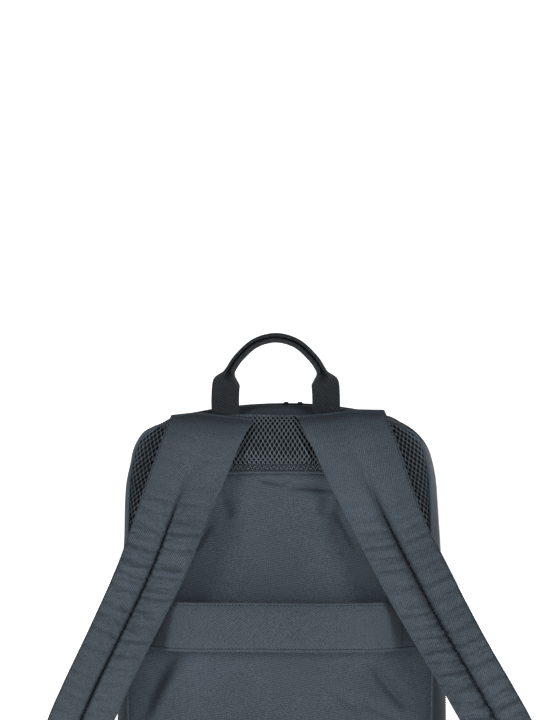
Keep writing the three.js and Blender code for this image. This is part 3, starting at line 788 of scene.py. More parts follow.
class Finish(Graph):
    """A material whose colour, roughness and relief come from expressions."""

    def __init__(self, name):
        material = bpy.data.materials.new(name)
        material.use_nodes = True
        material.node_tree.nodes.clear()
        super().__init__(material.node_tree)
        self.material = material

    def cloth(self):
        """The cloth's own coordinates, across and along, in metres."""
        return self.parts(self.add("ShaderNodeUVMap", {"uv_map": CLOTH_UV}))[:2]

    def clouds(self, scale, detail):
        """Soft noise in the object's own space, from 0 to 1."""
        return self.add(
            "ShaderNodeTexNoise", inputs={"Vector": self.place(), "Scale": scale, "Detail": detail})

    def tones(self, dark, light, share):
        """A colour between two others."""
        return self.add(
            "ShaderNodeMix", {"data_type": "RGBA"}, {0: share, 6: (*dark, 1.0), 7: (*light, 1.0)}, output=2)

    def shades(self, rgb, dark, light, share):
        """A colour between a darker and a lighter shade of one."""
        return self.tones(scaled(rgb, dark), scaled(rgb, light), share)

    def surface(self, colour, roughness, height, depth, constants):
        """Ends the material in one surface shader with its relief."""
        bump = self.add("ShaderNodeBump", inputs={"Strength": 1.0, "Distance": depth, "Height": height})
        inputs = {"Base Color": colour, "Roughness": roughness, "Normal": bump}
        inputs.update(constants)
        shader = self.add("ShaderNodeBsdfPrincipled", inputs=inputs)
        self.add("ShaderNodeOutputMaterial", inputs={"Surface": shader})
        return self.material


def scaled(rgb, factor):
    return tuple(min(1.0, factor * c) for c in rgb)


def repeats(length):
    """Radians to the metre of a pattern that repeats at that length."""
    return 2 * math.pi / length


def cloth_gloss(sheen, specular):
    """What is the same all over a cloth's surface shader."""
    return {"Sheen Weight": sheen, "Sheen Roughness": 0.5, "Specular IOR Level": specular}


# Scale of the uneven dye and of the lint on woven cloth, and how much its ribs, its cross threads and
# its lint show. Cross threads are further apart than ribs by this much.
DYE_SCALE = 9.0
LINT_SCALE = 980.0
RIB_SHOWS = 0.30
CROSS_SHOWS = 0.07
LINT_SHOWS = 1.45
CROSS_PITCH = 1.3


def woven_cloth(name, rgb, pitch, lean, tone, depth):
    """Cloth of that thread pitch: ribs at an angle to its width, broken by the cross threads, with uneven
    dye and lint."""
    finish = Finish(name)
    across, along = finish.cloth()
    turn = math.radians(lean)
    rib = ((along * math.cos(turn) + across * math.sin(turn)) * repeats(pitch)).sine()
    cross = ((across * math.cos(turn) - along * math.sin(turn)) * repeats(CROSS_PITCH * pitch)).sine()
    thread = rib * RIB_SHOWS + cross * CROSS_SHOWS + 0.5
    dye = finish.clouds(DYE_SCALE, 3.0)
    lint = finish.clouds(LINT_SCALE, 1.0)
    share = 0.5 + (thread - 0.5) * 0.9 + (dye - 0.5) * tone + (lint - 0.5) * LINT_SHOWS
    colour = finish.shades(rgb, 0.5, 1.5, share.capped(0.0, 1.0))
    rough = 0.84 - thread * 0.14 + dye * 0.05
    height = thread + lint * 0.6
    return finish.surface(colour, rough, height, depth, cloth_gloss(0.04, 0.25))


# Slants of the ribs and threads of webbing, and the threads' pitch as a share of the ribs'.
RIB_SLANT = 0.55
THREAD_SLANT = 0.2
THREAD_PITCH = 0.6


def twill_webbing(name, rgb, pitch, depth):
    """Woven tape of that rib pitch: slanted ribs, each broken into short threads."""
    finish = Finish(name)
    across, along = finish.cloth()
    rib = ((along - across * RIB_SLANT) * repeats(pitch)).sine()
    thread = ((across + along * THREAD_SLANT) * repeats(THREAD_PITCH * pitch)).sine()
    dye = finish.clouds(24.0, 2.0)
    lint = finish.clouds(900.0, 1.0)
    share = 0.5 + rib * 0.32 + thread * 0.14 + (dye - 0.5) * 0.5 + (lint - 0.5) * 0.9
    colour = finish.shades(rgb, 0.45, 1.55, share.capped(0.0, 1.0))
    rough = 0.8 - rib * 0.1
    height = rib + thread * 0.4
    return finish.surface(colour, rough, height, depth, cloth_gloss(0.1, 0.35))


YARN_SLANT = 1.7
YARN_PITCH = 0.0007
YARN_RELIEF = 0.00012


def knitted_strand(name, rgb):
    """Strands of the air mesh: fine yarn with a slight gleam."""
    finish = Finish(name)
    across, along = finish.cloth()
    yarn = ((across + along * YARN_SLANT) * repeats(YARN_PITCH)).sine()
    cloud = finish.clouds(60.0, 2.0)
    share = yarn * 0.25 + cloud * 0.9 + 0.05
    colour = finish.shades(rgb, 0.6, 1.4, share.capped(0.0, 1.0))
    return finish.surface(colour, 0.66 + cloud * 0.12, yarn, YARN_RELIEF, cloth_gloss(0.1, 0.4))


GRAIN_RELIEF = 0.00008
THREAD_RELIEF = 0.0001


def moulded_plastic(name, rgb, rough):
    """Moulded plastic with a fine spark grain and a few rubbed places."""
    finish = Finish(name)
    grain = finish.clouds(1400.0, 2.0)
    cloud = finish.clouds(30.0, 3.0)
    colour = finish.shades(rgb, 0.8, 1.5, cloud)
    return finish.surface(colour, rough + cloud * 0.18, grain, GRAIN_RELIEF, {"Specular IOR Level": 0.5})


def sewing_thread(name, rgb):
    """Twisted thread, dark: partly its own colour, partly painted shade of the needle holes and dips that its
    stitches sit in.
    """
    finish = Finish(name)
    cloud = finish.clouds(700.0, 1.0)
    colour = finish.shades(rgb, 0.7, 1.4, cloud)
    return finish.surface(colour, 0.62 + cloud * 0.15, cloud, THREAD_RELIEF, {"Specular IOR Level": 0.4})


def materials():
    """All materials of the bag by name, made on first use."""
    if "Slate nylon" not in bpy.data.materials:
        colours = bpy.context.scene.backpack_colours
        rgb = {name: tuple(getattr(colours, name)) for name in colours.__annotations__}
        # The piping cloth is the body's nylon made lighter: partly painted highlight, for the light that the
        # piping and the hem's lip catch along their rounded edges.
        lighter, darker = scaled(rgb["nylon"], 1.1), scaled(rgb["nylon"], 0.5)
        woven_cloth("Slate nylon", rgb["nylon"], pitch=0.0016, lean=8.0, tone=0.7, depth=0.0002)
        woven_cloth("Strap nylon", rgb["strap"], pitch=0.0017, lean=76.0, tone=0.6, depth=0.00022)
        woven_cloth("Band cloth", rgb["band"], pitch=0.0018, lean=58.0, tone=0.4, depth=0.00022)
        woven_cloth("Piping cloth", lighter, pitch=0.0009, lean=8.0, tone=0.3, depth=0.00012)
        # Mesh spacer: near black, painted shade for the inside of the air mesh's holes.
        woven_cloth("Mesh spacer", rgb["spacer"], pitch=0.0012, lean=8.0, tone=0.3, depth=0.0002)
        knitted_strand("Air mesh", rgb["mesh"])
        twill_webbing("Webbing", rgb["webbing"], pitch=0.0023, depth=0.00045)
        twill_webbing("Knitted tape", darker, pitch=0.0019, depth=0.0006)
        moulded_plastic("Moulded plastic", rgb["plastic"], rough=0.34)
        sewing_thread("Sewing thread", rgb["thread"])
    return bpy.data.materials


# Geometry node trees

def node_tree(name, inputs):
    """A geometry tree with its named inputs. Gives the graph and the group input node's values."""
    tree = bpy.data.node_groups.new(name, "GeometryNodeTree")
    tree.interface.new_socket("Geometry", in_out="INPUT", socket_type="NodeSocketGeometry")
    tree.interface.new_socket("Geometry", in_out="OUTPUT", socket_type="NodeSocketGeometry")
    for label, kind in inputs:
        tree.interface.new_socket(label, in_out="INPUT", socket_type=kind)
    graph = Graph(tree)
    entry = graph.add("NodeGroupInput")
    values = {socket.name: Value(graph, socket) for socket in entry.socket.node.outputs}
    return graph, values


def finish_tree(graph, geometry, material):
    """Ends a tree in real faces with their material and smooth shading."""
    real = graph.add("GeometryNodeRealizeInstances", inputs={0: geometry})
    shaded = graph.add("GeometryNodeSetShadeSmooth", inputs={"Geometry": real})
    named = graph.add("GeometryNodeSetMaterial", inputs={"Geometry": shaded, "Material": material})
    graph.add("NodeGroupOutput", inputs={0: named})


def run_tree(name, source, tree, values):
    """Runs a tree on a source mesh and gives the result as a plain piece."""
    carrier = new_object(name, source)
    modifier = carrier.modifiers.new("Nodes", "NODES")
    modifier.node_group = tree
    for item in tree.interface.items_tree:
        if item.item_type == "SOCKET" and item.in_out == "INPUT" and item.name in values:
            modifier[item.identifier] = values[item.name]
    return baked(carrier)


ROWS_TREE = "Rows along a path"
BEAD_SIZES = ("Pitch", "Along", "Across", "Rise")


def rows_along_path():
    """Tree that lays small rounded beads along paths: stitches, or the turns of a zip's coil."""
    if ROWS_TREE in bpy.data.node_groups:
        return bpy.data.node_groups[ROWS_TREE]
    kinds = [(label, "NodeSocketFloat") for label in BEAD_SIZES]
    graph, given = node_tree(ROWS_TREE, [*kinds, ("Material", "NodeSocketMaterial")])
    curve = graph.add("GeometryNodeMeshToCurve", inputs={"Mesh": given["Geometry"]})
    even = graph.add(
        "GeometryNodeResampleCurve", {"mode": "LENGTH"}, {"Curve": curve, "Length": given["Pitch"]})
    bead = graph.add("GeometryNodeMeshUVSphere", inputs={"Segments": 8, "Rings": 5, "Radius": 0.5})
    tangent = graph.add("GeometryNodeInputTangent")
    outward = graph.add("GeometryNodeInputNamedAttribute", {"data_type": "FLOAT_VECTOR"}, {"Name": OUT})
    turn = graph.add(
        "FunctionNodeAxesToRotation", {"primary_axis": "X", "secondary_axis": "Z"},
        {"Primary Axis": tangent, "Secondary Axis": outward})
    size = graph.joined(given["Along"], given["Across"], given["Rise"])
    laid = graph.add(
        "GeometryNodeInstanceOnPoints",
        inputs={"Points": even, "Instance": bead, "Rotation": turn, "Scale": size})
    finish_tree(graph, laid, given["Material"])
    return graph.tree


def lay_rows(name, paths, beads, material):
    """Beads along paths: their pitch, length, width and rise. Each path is its points and the way out of
    the cloth at them, in millimetres."""
    points, outs, edges = [], [], []
    for path, out in paths:
        first = len(points)
        points += (np.asarray(path) * MM).tolist()
        outs += np.broadcast_to(out, np.shape(path)).tolist()
        edges += [(first + i, first + i + 1) for i in range(len(path) - 1)]
    mesh = bpy.data.meshes.new(name)
    mesh.from_pydata(points, edges, [])
    attribute = mesh.attributes.new(OUT, "FLOAT_VECTOR", "POINT")
    attribute.data.foreach_set("vector", np.array(outs, np.float32).ravel())
    values = {**dict(zip(BEAD_SIZES, beads)), "Material": material}
    return run_tree(name, mesh, rows_along_path(), values)


# Length of a stitch as a share of its pitch, and its rise as a share of its width.
STITCH_LENGTH = 0.8
STITCH_RISE = 0.75


def stitches(name, paths):
    """Sewing stitches along paths."""
    sizes = settings()
    pitch, width = sizes.stitch_pitch, sizes.stitch_width
    beads = (pitch, STITCH_LENGTH * pitch, width, STITCH_RISE * width)
    return lay_rows(name, paths, beads, materials()["Sewing thread"])


KNIT_UV = "knit"
STRANDS_MEET = 0.00005
LEAST_STRANDS = 1000


def knit_tree():
    """Tree that drapes a knit, drawn flat in the cloth's own coordinates, over a face."""
    kinds = [("Face", "NodeSocketObject"), ("Rise", "NodeSocketFloat"), ("Material", "NodeSocketMaterial")]
    graph, given = node_tree("Air mesh knit", kinds)
    info = graph.add("GeometryNodeObjectInfo", inputs={"Object": given["Face"]})
    face = graph.other(info, "Geometry")
    joined = graph.add(
        "GeometryNodeMergeByDistance", inputs={"Geometry": given["Geometry"], "Distance": STRANDS_MEET})
    x, y, lift = graph.parts(graph.add("GeometryNodeInputPosition"))
    at = graph.joined(x, y, 0.0)
    cloth = graph.add("GeometryNodeInputNamedAttribute", {"data_type": "FLOAT_VECTOR"}, {"Name": CLOTH_UV})

    def sampled(field):
        return graph.add(
            "GeometryNodeSampleUVSurface", {"data_type": "FLOAT_VECTOR"},
            {"Mesh": face, "Value": field, "Source UV Map": cloth, "Sample UV": at})

    place = sampled(graph.add("GeometryNodeInputPosition"))
    normal = sampled(graph.add("GeometryNodeInputNormal"))
    marked = graph.add(
        "GeometryNodeStoreNamedAttribute", {"data_type": "FLOAT2", "domain": "CORNER"},
        {"Geometry": joined, "Name": KNIT_UV, "Value": at})
    outside = graph.add("FunctionNodeBooleanMath", {"operation": "NOT"}, {0: graph.other(place, "Is Valid")})
    kept = graph.add(
        "GeometryNodeDeleteGeometry", {"domain": "POINT"}, {"Geometry": marked, "Selection": outside})
    high = lift * given["Rise"] * (1.0 / MM)
    lifted = graph.add(
        "ShaderNodeVectorMath", {"operation": "MULTIPLY_ADD"},
        {0: normal, 1: graph.joined(high, high, high), 2: place})
    draped = graph.add("GeometryNodeSetPosition", inputs={"Geometry": kept, "Position": lifted})
    finish_tree(graph, draped, given["Material"])
    return graph.tree


# Rings of one cell of the knit, from the middle of its strands to the rim of its hole: shares of the
# cell's width and height, roundness of its corners, and share of the strand's height.
KNIT_RINGS = (
    (1.0, 1.0, 1.0, 1.0),
    (0.82, 0.88, 1.15, 0.9),
    (0.69, 0.77, 1.35, 0.4),
    (0.58, 0.67, 1.5, -0.4),
)
KNIT_SIDES = 8


def flat_knit(pitch, row, wide, low, high):
    """The knit drawn flat, in millimetres: crossing strands with a lens-shaped hole in each cell."""
    turn = np.linspace(0.0, 2 * math.pi, KNIT_SIDES, endpoint=False)
    rings = []
    for broad, tall, power, lift in KNIT_RINGS:
        reach = (np.abs(np.cos(turn)) ** power + np.abs(np.sin(turn)) ** power) ** (-1.0 / power)
        across = broad * pitch / 2 * reach * np.cos(turn)
        along = tall * row * reach * np.sin(turn)
        rings.append(np.stack([across, along, np.full(KNIT_SIDES, lift)], axis=1))
    cell = np.concatenate(rings)
    cell_faces = np.array(ring_faces(len(rings), KNIT_SIDES))
    columns = np.arange(-int(wide / pitch) - 1, int(wide / pitch) + 2)
    rows = np.arange(int((high - low) / row) + 2)
    i, j = (grid.ravel() for grid in np.meshgrid(columns, rows))
    centres = np.stack([(i + 0.5 * (j % 2)) * pitch, low + j * row, np.zeros(len(i))], axis=1)
    points = (centres[:, None, :] + cell[None, :, :]).reshape(-1, 3)
    firsts = len(cell) * np.arange(len(centres))
    faces = (firsts[:, None, None] + cell_faces[None, :, :]).reshape(-1, 4)
    return points, faces.tolist()


# Back panels

# Rows and columns of the two panels. The lower panel's rows crowd towards the hem, where its creases are.
MESH_GRID = (64, 121)
LOWER_GRID = (270, 181)
LOWER_CROWDS = 1.35
PANEL_CROWDS = 0.32
# Soft swells of the two panels.
MESH_SWELLS = ((0.35, 60.0, 0),)
LOWER_SWELLS = ((0.5, 70.0, 0), (0.22, 26.0, 3))
# How far below the seam's peak the upper panel's first row lies.
PEAK_CLEAR = 0.05


def panel_grid(rows, columns, upper):
    """Places of the back panel above or below its hem, x and z."""
    u = crowded(columns, PANEL_CROWDS)
    v = np.linspace(0.0, 1.0, rows)[:, None] ** (1.0 if upper else LOWER_CROWDS)
    if upper:
        peak = SEAM[SEAM_PEAK, 2] - PEAK_CLEAR
        side = peak - (peak - HEM_SIDE) * v**2
        follow = v**3
        clear = GAP / 2
    else:
        side = HEM_SIDE * (1.0 - v)
        follow = (1.0 - v) ** 2
        clear = -GAP / 2
    x = u[None, :] * half_width(side)
    z = side + (hem_height(x) - HEM_SIDE) * follow
    return x, z + clear * follow


def rounded_edge(distance, reach, drop):
    """How far a padded edge falls back near its seam, and the length of cloth that takes up."""
    share = np.clip(1.0 - distance / reach, 0.0, 0.995)
    fall = drop * (1.0 - np.sqrt(1.0 - share**2))
    extra = drop * 0.9 * share**3
    return fall, extra


def from_hem(x, z):
    """Distance of places from the tape on the hem."""
    return np.maximum(0.0, np.abs(z - hem_height(x)) - HEM_TAPE / 2)


def from_straps(x, z):
    """Distance of places of the back from the straps, towards the middle between them."""
    drop = SEAM_TOP - z
    left = hermite(STRAP_HEAD, STRAP, "inner_left", drop)
    right = hermite(STRAP_HEAD, STRAP, "inner_right", drop)
    return np.maximum(0.0, np.minimum(x + left, right - x))


# Beside the straps the mesh is turned by this many degrees on the left and the right, about a place
# this far out and this high. The turn starts and is full at these distances from the middle.
MESH_TURNS = (20.0, -24.0)
MESH_TURN_AT = (115.0, 400.0)
MESH_TURN_FROM = (60.0, 84.0)


def turned_mesh(x, z):
    """The mesh's own coordinates: beside the straps it is turned to run along their edges."""
    out, high = MESH_TURN_AT
    turn = np.radians(np.where(x < 0, *MESH_TURNS)) * smooth(np.abs(x), *MESH_TURN_FROM)
    from_x, from_z = x - out * np.sign(x), z - high
    across = from_x * np.cos(turn) - from_z * np.sin(turn)
    along = from_x * np.sin(turn) + from_z * np.cos(turn)
    return across + out * np.sign(x), along + high


def drape_knit(outer, uv):
    """The knit of the air mesh, draped over the pad's face."""
    sizes = settings()
    yarn = materials()["Air mesh"]
    faces = [tuple(reversed(face)) for face in grid_faces(*outer.shape[:2])]
    face_mesh = mesh_from("air_mesh_face", outer.reshape(-1, 3), faces, uv.reshape(-1, 2))
    face = new_object(face_mesh.name, face_mesh)
    wide, low, high = np.abs(uv[..., 0]).max(), uv[..., 1].min(), uv[..., 1].max()
    points, faces = flat_knit(sizes.mesh_pitch / MM, sizes.mesh_row / MM, wide, low, high)
    values = {"Face": face, "Rise": sizes.mesh_rise, "Material": yarn}
    knit = run_tree("air_mesh_knit", mesh_from("air_mesh_knit", points, faces), knit_tree(), values)
    bpy.data.objects.remove(face)
    layer = knit.data.uv_layers.get(KNIT_UV)
    if layer is None:
        raise RuntimeError("the knit has no cloth coordinates")
    if len(knit.data.polygons) < LEAST_STRANDS:
        raise RuntimeError("the air mesh has too few strands")
    layer.name = CLOTH_UV
    dress(knit, yarn, "air_mesh")


def make_mesh_panel():
    sizes = settings()
    x, z = panel_grid(*MESH_GRID, True)
    distance, out_x, _ = seam_distance(x, z)
    hem_distance = from_hem(x, z)
    fall, extra = rounded_edge(distance, PANEL_ROUND, PANEL_EDGE + MESH_EDGE)
    hem_fall, _ = rounded_edge(hem_distance, HEM_ROLL, HEM_SINK)
    free = smooth(from_straps(x, z), 0.0, BULGE_FROM_STRAPS)
    inside = smooth(distance, 0.0, BULGE_FROM_SEAM) * smooth(hem_distance, 0.0, BULGE_FROM_HEM)
    soft = swells(x, z, MESH_SWELLS, sizes.seed)
    y = back_face(x, z) + fall + hem_fall - MESH_BULGE * free * inside + sizes.mesh_rise / MM + soft
    back = BACK_Y - GAP + top_roll(z)
    outer = np.stack([x, np.minimum(y, back - MESH_LEAST), z], axis=2)
    inner = np.stack([x, back, z], axis=2)
    middle = x.shape[1] // 2
    height = -along_rows(outer)[:, middle]
    stretch = height - height[-1] + HEM_HEIGHT - z[:, middle]
    uv = np.stack(turned_mesh(x + out_x * extra, z + stretch[:, None]), axis=2)
    # The pad's face under the knit is the near-black mesh spacer, painted shade in the knit's holes.
    backing = wall_piece("back_mesh_panel_pad", outer, inner, uv)
    dress(backing, materials()["Mesh spacer"], "air_mesh", "back_mesh_panel")
    drape_knit(outer, uv)


def make_lower_panel():
    x, z = panel_grid(*LOWER_GRID, False)
    distance, out_x, out_z = seam_distance(x, z)
    fall, extra = rounded_edge(distance, PANEL_ROUND, PANEL_EDGE)
    hem_fall, _ = rounded_edge(from_hem(x, z), HEM_ROLL, HEM_SINK)
    soft = swells(x, z, LOWER_SWELLS, settings().seed)
    inside = smooth(distance, 0.0, CREASES_CLEAR)
    y = back_face(x, z) + fall + hem_fall - (soft + fold_rise(x, z, CREASES, CREASE_STEEP)) * inside
    back = BACK_Y - GAP
    outer = np.stack([x, np.minimum(y, back - LOWER_LEAST), z], axis=2)
    inner = np.stack([x, np.full_like(y, back), z], axis=2)
    uv = np.stack([x + out_x * extra, z + out_z * extra], axis=2)
    panel = wall_piece("back_lower_panel_pad", outer, inner, uv)
    dress(panel, materials()["Slate nylon"], "nylon", "back_lower_panel")


def on_hem(x, level, lift):
    """Path along the hem at places x, at a share of the tape's height, lifted off its bed."""
    z = hem_height(x) + level * HEM_TAPE
    return np.stack([x, back_face(x, z) + HEM_SINK - lift, z], axis=1)


# The hem's tape and the sewing on it reach this far to both sides. Its stitch lines, its zigzag and its
# lip lie at these shares of its height, and stand this far off its bed.
TAPE_GRID = (181, 25)
TAPE_REACH = 134.0
TAPE_LIFT = 1.1
TAPE_UNDER_LIFT = 0.3
TAPE_CROWN = 0.4
HEM_LINE_POINTS = 140
HEM_SEWN_REACH = 132.0
HEM_STITCHES = (-0.2, 0.42)
HEM_STITCHES_LIFT = 1.5
HEM_SWING = (-0.05, 0.34)
HEM_SWING_LIFT = 1.7
HEM_LIP = -0.34
HEM_LIP_LIFT = 1.4
HEM_LIP_RADIUS = 1.0
ZIGZAG_BEADS = (0.0024, 0.0019, 0.0007, 0.0008)


def make_hem_tape():
    rows, columns = TAPE_GRID
    x = np.linspace(-TAPE_REACH, TAPE_REACH, rows)[:, None]
    side = np.linspace(-0.5, 0.5, columns)[None, :]
    z = hem_height(x) + side * HEM_TAPE
    xs = np.broadcast_to(x, z.shape)
    crown = TAPE_CROWN * (1.0 - (2.0 * side) ** 4)
    bed = back_face(xs, z) + HEM_SINK
    outer = np.stack([xs, bed - TAPE_LIFT - crown, z], axis=2)
    inner = np.stack([xs, bed - TAPE_UNDER_LIFT, z], axis=2)
    uv = np.stack([z - hem_height(x), xs], axis=2)
    tape = wall_piece("hem_tape_sewn", outer, inner, uv)
    dress(tape, materials()["Knitted tape"], "webbing", "hem_tape")

    piping, yarn = materials()["Piping cloth"], materials()["Air mesh"]
    line = np.linspace(-HEM_SEWN_REACH, HEM_SEWN_REACH, HEM_LINE_POINTS)
    turns = 2 * int(2 * HEM_SEWN_REACH / HEM_ZIGZAG) + 1
    swing = np.where(np.arange(turns) % 2 == 0, *HEM_SWING)
    zigzag = on_hem(np.linspace(-HEM_SEWN_REACH, HEM_SEWN_REACH, turns), swing, HEM_SWING_LIFT)
    dress(lay_rows("hem_zigzag", [(zigzag, BACKWARD)], ZIGZAG_BEADS, yarn), yarn, "webbing")
    paths = [(on_hem(line, level, HEM_STITCHES_LIFT), BACKWARD) for level in HEM_STITCHES]
    dress(stitches("hem_stitches", paths), piping, "webbing")
    # The lip is the lower panel's folded edge, in the lighter piping cloth: painted highlight along it.
    lip = round_tube("hem_lip", on_hem(line, HEM_LIP, HEM_LIP_LIFT), HEM_LIP_RADIUS)
    dress(lip, piping, "nylon")


class BACKPACK_OT_back(bpy.types.Operator):
    """Make the padded back: air mesh above the hem, nylon below it, and the tape on the hem"""
    bl_idname = "backpack.back"
    bl_label = "Back panels"

    def execute(self, context):
        make_mesh_panel()
        make_lower_panel()
        make_hem_tape()
        return {"FINISHED"}


# Gusset, base and front

def along_rows(points):
    """Distance along the rows of a grid, from its middle row."""
    step = np.linalg.norm(np.diff(points, axis=0), axis=2)
    along = np.concatenate([np.zeros((1, points.shape[1])), np.cumsum(step, axis=0)])
    return along - along[len(along) // 2]


# The gusset's cloth sags between its seams in swells of this size. Over the top it swells instead, where
# it faces up this much. Both are full at these distances from its seams.
SAG_SIZE = 90.0
SAG_FROM_SEAM = 22.0
SWELL_FACING = (0.9, 0.99)
SWELL_FROM_SEAM = 16.0
GUSSET_COLUMNS = 26
GUSSET_CROWDS = 1.25
BASE_COLUMNS = 40
FRONT_COLUMNS = 81
FRONT_CROWDS = 0.25
FRONT_SWELLS = ((2.6, 150.0, 6), (0.9, 55.0, 9))
# Spacing of stations round the gusset, the base and the front, and along the piping.
GUSSET_STEP = 3.2
BASE_STEP = 3.0
FRONT_STEP = 4.0
PIPING_STEP = 3.0


def gusset_piece(name, from_front, sag, seed):
    """One strip of the gusset, from the back or the front seam to the zip."""
    stations = over_the_top(GUSSET_STEP)
    edge = (ZIP_WIDTH / 2 + GAP) / depth_at(stations[:, 1:2])
    shares = np.linspace(0.0, 1.0, GUSSET_COLUMNS)[None, :] ** GUSSET_CROWDS * (0.5 - edge)
    if from_front:
        shares = 1.0 - shares
    flat = gusset_points(stations, shares)
    across = flat[:, :, 1] - flat[:, :1, 1]
    along = along_rows(flat)
    from_seams = np.minimum(np.abs(across), np.abs(flat[:, -1:, 1] - flat[:, :, 1]))
    hollow = sag * smooth(from_seams, 0.0, SAG_FROM_SEAM) * ripple(across, along, SAG_SIZE, seed)
    facing = smooth(stations[:, 3:4], *SWELL_FACING)
    hollow = hollow - TOP_SWELL * facing * smooth(from_seams, 0.0, SWELL_FROM_SEAM)
    outer = gusset_points(stations, shares, hollow)
    inner = gusset_points(stations, shares, CLOTH)
    return wall_piece(name, outer, inner, np.stack([across, along], axis=2))


def make_gusset():
    nylon = materials()["Slate nylon"]
    back = gusset_piece("gusset_back_cloth", from_front=False, sag=1.6, seed=5)
    dress(back, nylon, "nylon", "gusset_back")
    front = gusset_piece("gusset_front_cloth", from_front=True, sag=1.8, seed=8)
    dress(front, nylon, "nylon", "gusset_front")
    corner = half_outline(BASE_STEP, ("base_corner",))
    stations = np.concatenate([mirrored(corner), corner[::-1]])
    shares = np.linspace(0.0, 1.0, BASE_COLUMNS)
    outer = gusset_points(stations, shares)
    inner = gusset_points(stations, shares, BASE_PAD)
    uv = np.stack([outer[..., 1], along_rows(outer)], axis=2)
    base = wall_piece("base_padded", outer, inner, uv)
    dress(base, nylon, "nylon", "base_panel")


def make_front():
    stations = half_outline(FRONT_STEP, ALL_ARCS)[1:]
    edge = gusset_points(stations, [1.0])[:, 0, :]
    half = edge[:, 0:1]
    x = crowded(FRONT_COLUMNS, FRONT_CROWDS)[None, :] * half
    z = np.broadcast_to(edge[:, 2:3], x.shape)
    low, high = edge[-1, 2], edge[0, 2]
    share = crown_share(x, z - low, half, high - low, FRONT_SHARP)
    soft = swells(x, z, FRONT_SWELLS)
    y = edge[:, 1:2] + GAP + CLOTH + FRONT_CROWN * share + soft * np.minimum(1.0, 2.0 * share)
    outer = np.stack([x, y, z], axis=2)
    inner = np.stack([x, y - CLOTH, z], axis=2)
    front = wall_piece("front_cloth", outer, inner, np.stack([x, z], axis=2))
    dress(front, materials()["Slate nylon"], "nylon", "front_panel")


# Piping: share of the depth at which each seam lies, and how far the piping is sunk and stands backward.
PIPING = {"piping_back": (0.0, 0.7, 1.5), "piping_front": (1.0, 0.8, -0.8)}


def make_piping():
    radius = settings().piping / MM
    stations = over_the_top(PIPING_STEP, ALL_ARCS)
    for name, (share, sunk, backward) in PIPING.items():
        path = gusset_points(stations, [share], sunk)[:, 0, :] + backward * BACKWARD
        # The piping's cloth is lighter than the body's: partly painted highlight along it.
        dress(round_tube(name, path, radius), materials()["Piping cloth"], "nylon")


class BACKPACK_OT_body(bpy.types.Operator):
    """Make the cloth round the body: gusset on both sides of the zip, base, front and piping"""
    bl_idname = "backpack.body"
    bl_label = "Gusset, base and front"

    def execute(self, context):
        make_gusset()
        make_front()
        make_piping()
        return {"FINISHED"}


# Zip

# How far the zip's tape is sunk and its coil and seams stand out, places of the coil's two halves as
# shares of its width, shares of a turn's pitch and width, its height, and how far off the seams are.
ZIP_COLUMNS = 9
TAPE_SUNK = 0.3
COIL_STAND = 0.4
COIL_HALVES = (-0.22, 0.22)
COIL_TURN = 0.62
COIL_RISE = 0.0019
ZIP_SEAM_STAND = 0.1
ZIP_SEAM_OFF = 3.2


class BACKPACK_OT_zip(bpy.types.Operator):
    """Make the zip round the gusset: tape, coil and two pulls"""
    bl_idname = "backpack.zip"
    bl_label = "Main zip"

    def execute(self, context):
        plastic = materials()["Moulded plastic"]
        stations = over_the_top(GUSSET_STEP)
        depth = depth_at(stations[:, 1:2])
        off = np.linspace(-ZIP_WIDTH / 2, ZIP_WIDTH / 2, ZIP_COLUMNS)[None, :]
        outer = gusset_points(stations, 0.5 + off / depth, TAPE_SUNK)
        inner = gusset_points(stations, 0.5 + off / depth, ZIP_THICK)
        uv = np.stack([np.broadcast_to(off, outer.shape[:2]), along_rows(outer)], axis=2)
        tape = wall_piece("zip_tape", outer, inner, uv)
        dress(tape, materials()["Webbing"], "plastic", "main_zip")
        out = np.stack([stations[:, 2], np.zeros(len(stations)), stations[:, 3]], axis=1)

        def path(aside, stand):
            return gusset_points(stations, 0.5 + aside / depth, -stand)[:, 0, :], out

        pitch = settings().tooth_pitch
        coils = [path(half * ZIP_TEETH, COIL_STAND) for half in COIL_HALVES]
        beads = (pitch, COIL_TURN * pitch, COIL_TURN * ZIP_TEETH * MM, COIL_RISE)
        dress(lay_rows("zip_coil", coils, beads, plastic), plastic, "plastic")
        seams = [path(sign * (ZIP_WIDTH / 2 + ZIP_SEAM_OFF), ZIP_SEAM_STAND) for sign in (-1.0, 1.0)]
        dress(stitches("zip_stitches", seams), materials()["Sewing thread"], "nylon")
        for side in SIDES:
            pull = bevelled(
                f"zip_pull_{side}", f"zip_pull_{side}_cast", width=0.0005, segments=3, degrees=35)
            dress(pull, plastic, "plastic", f"zip_pull_{side}")
        return {"FINISHED"}


# Shoulder straps

STRAP_ROWS = 360
STRAP_SPREAD = np.linspace(-1.0, 1.0, 61)
# Columns of a strap from its inner edge at -1 to its outer one at 1, closer together at its groove and edges.
STRAP_COLUMNS = np.sign(STRAP_SPREAD) * (
    0.55 * np.abs(STRAP_SPREAD) + 0.45 * STRAP_SPREAD**2 * (3.0 - 2.0 * np.abs(STRAP_SPREAD)))
STRAP_MIDDLE = len(STRAP_COLUMNS) // 2
# The edge's thickness as a share of a full one, the rise of the lobes beside the groove and the drop at
# which it starts and is full, soft swells, places across at which the sewn top's rise is given, and the
# drop at which that rise starts to fade and has gone.
STRAP_EDGE_SHARE = 0.45
LOBE_RISE = 1.5
LOBE_STARTS = (8.0, 46.0)
STRAP_SWELLS = ((0.35, 48.0, 0),)
STRAP_TOP_AT = (-1.0, -0.33, 0.33, 1.0)
STRAP_TOP_FADES = (-2.0, 34.0)
# Seeds of what differs between the straps: the swells of their cloth, and their cross folds.
SWELL_SEED = {"left": 3, "right": 7}
FOLD_SEED = {"left": 2, "right": 5}
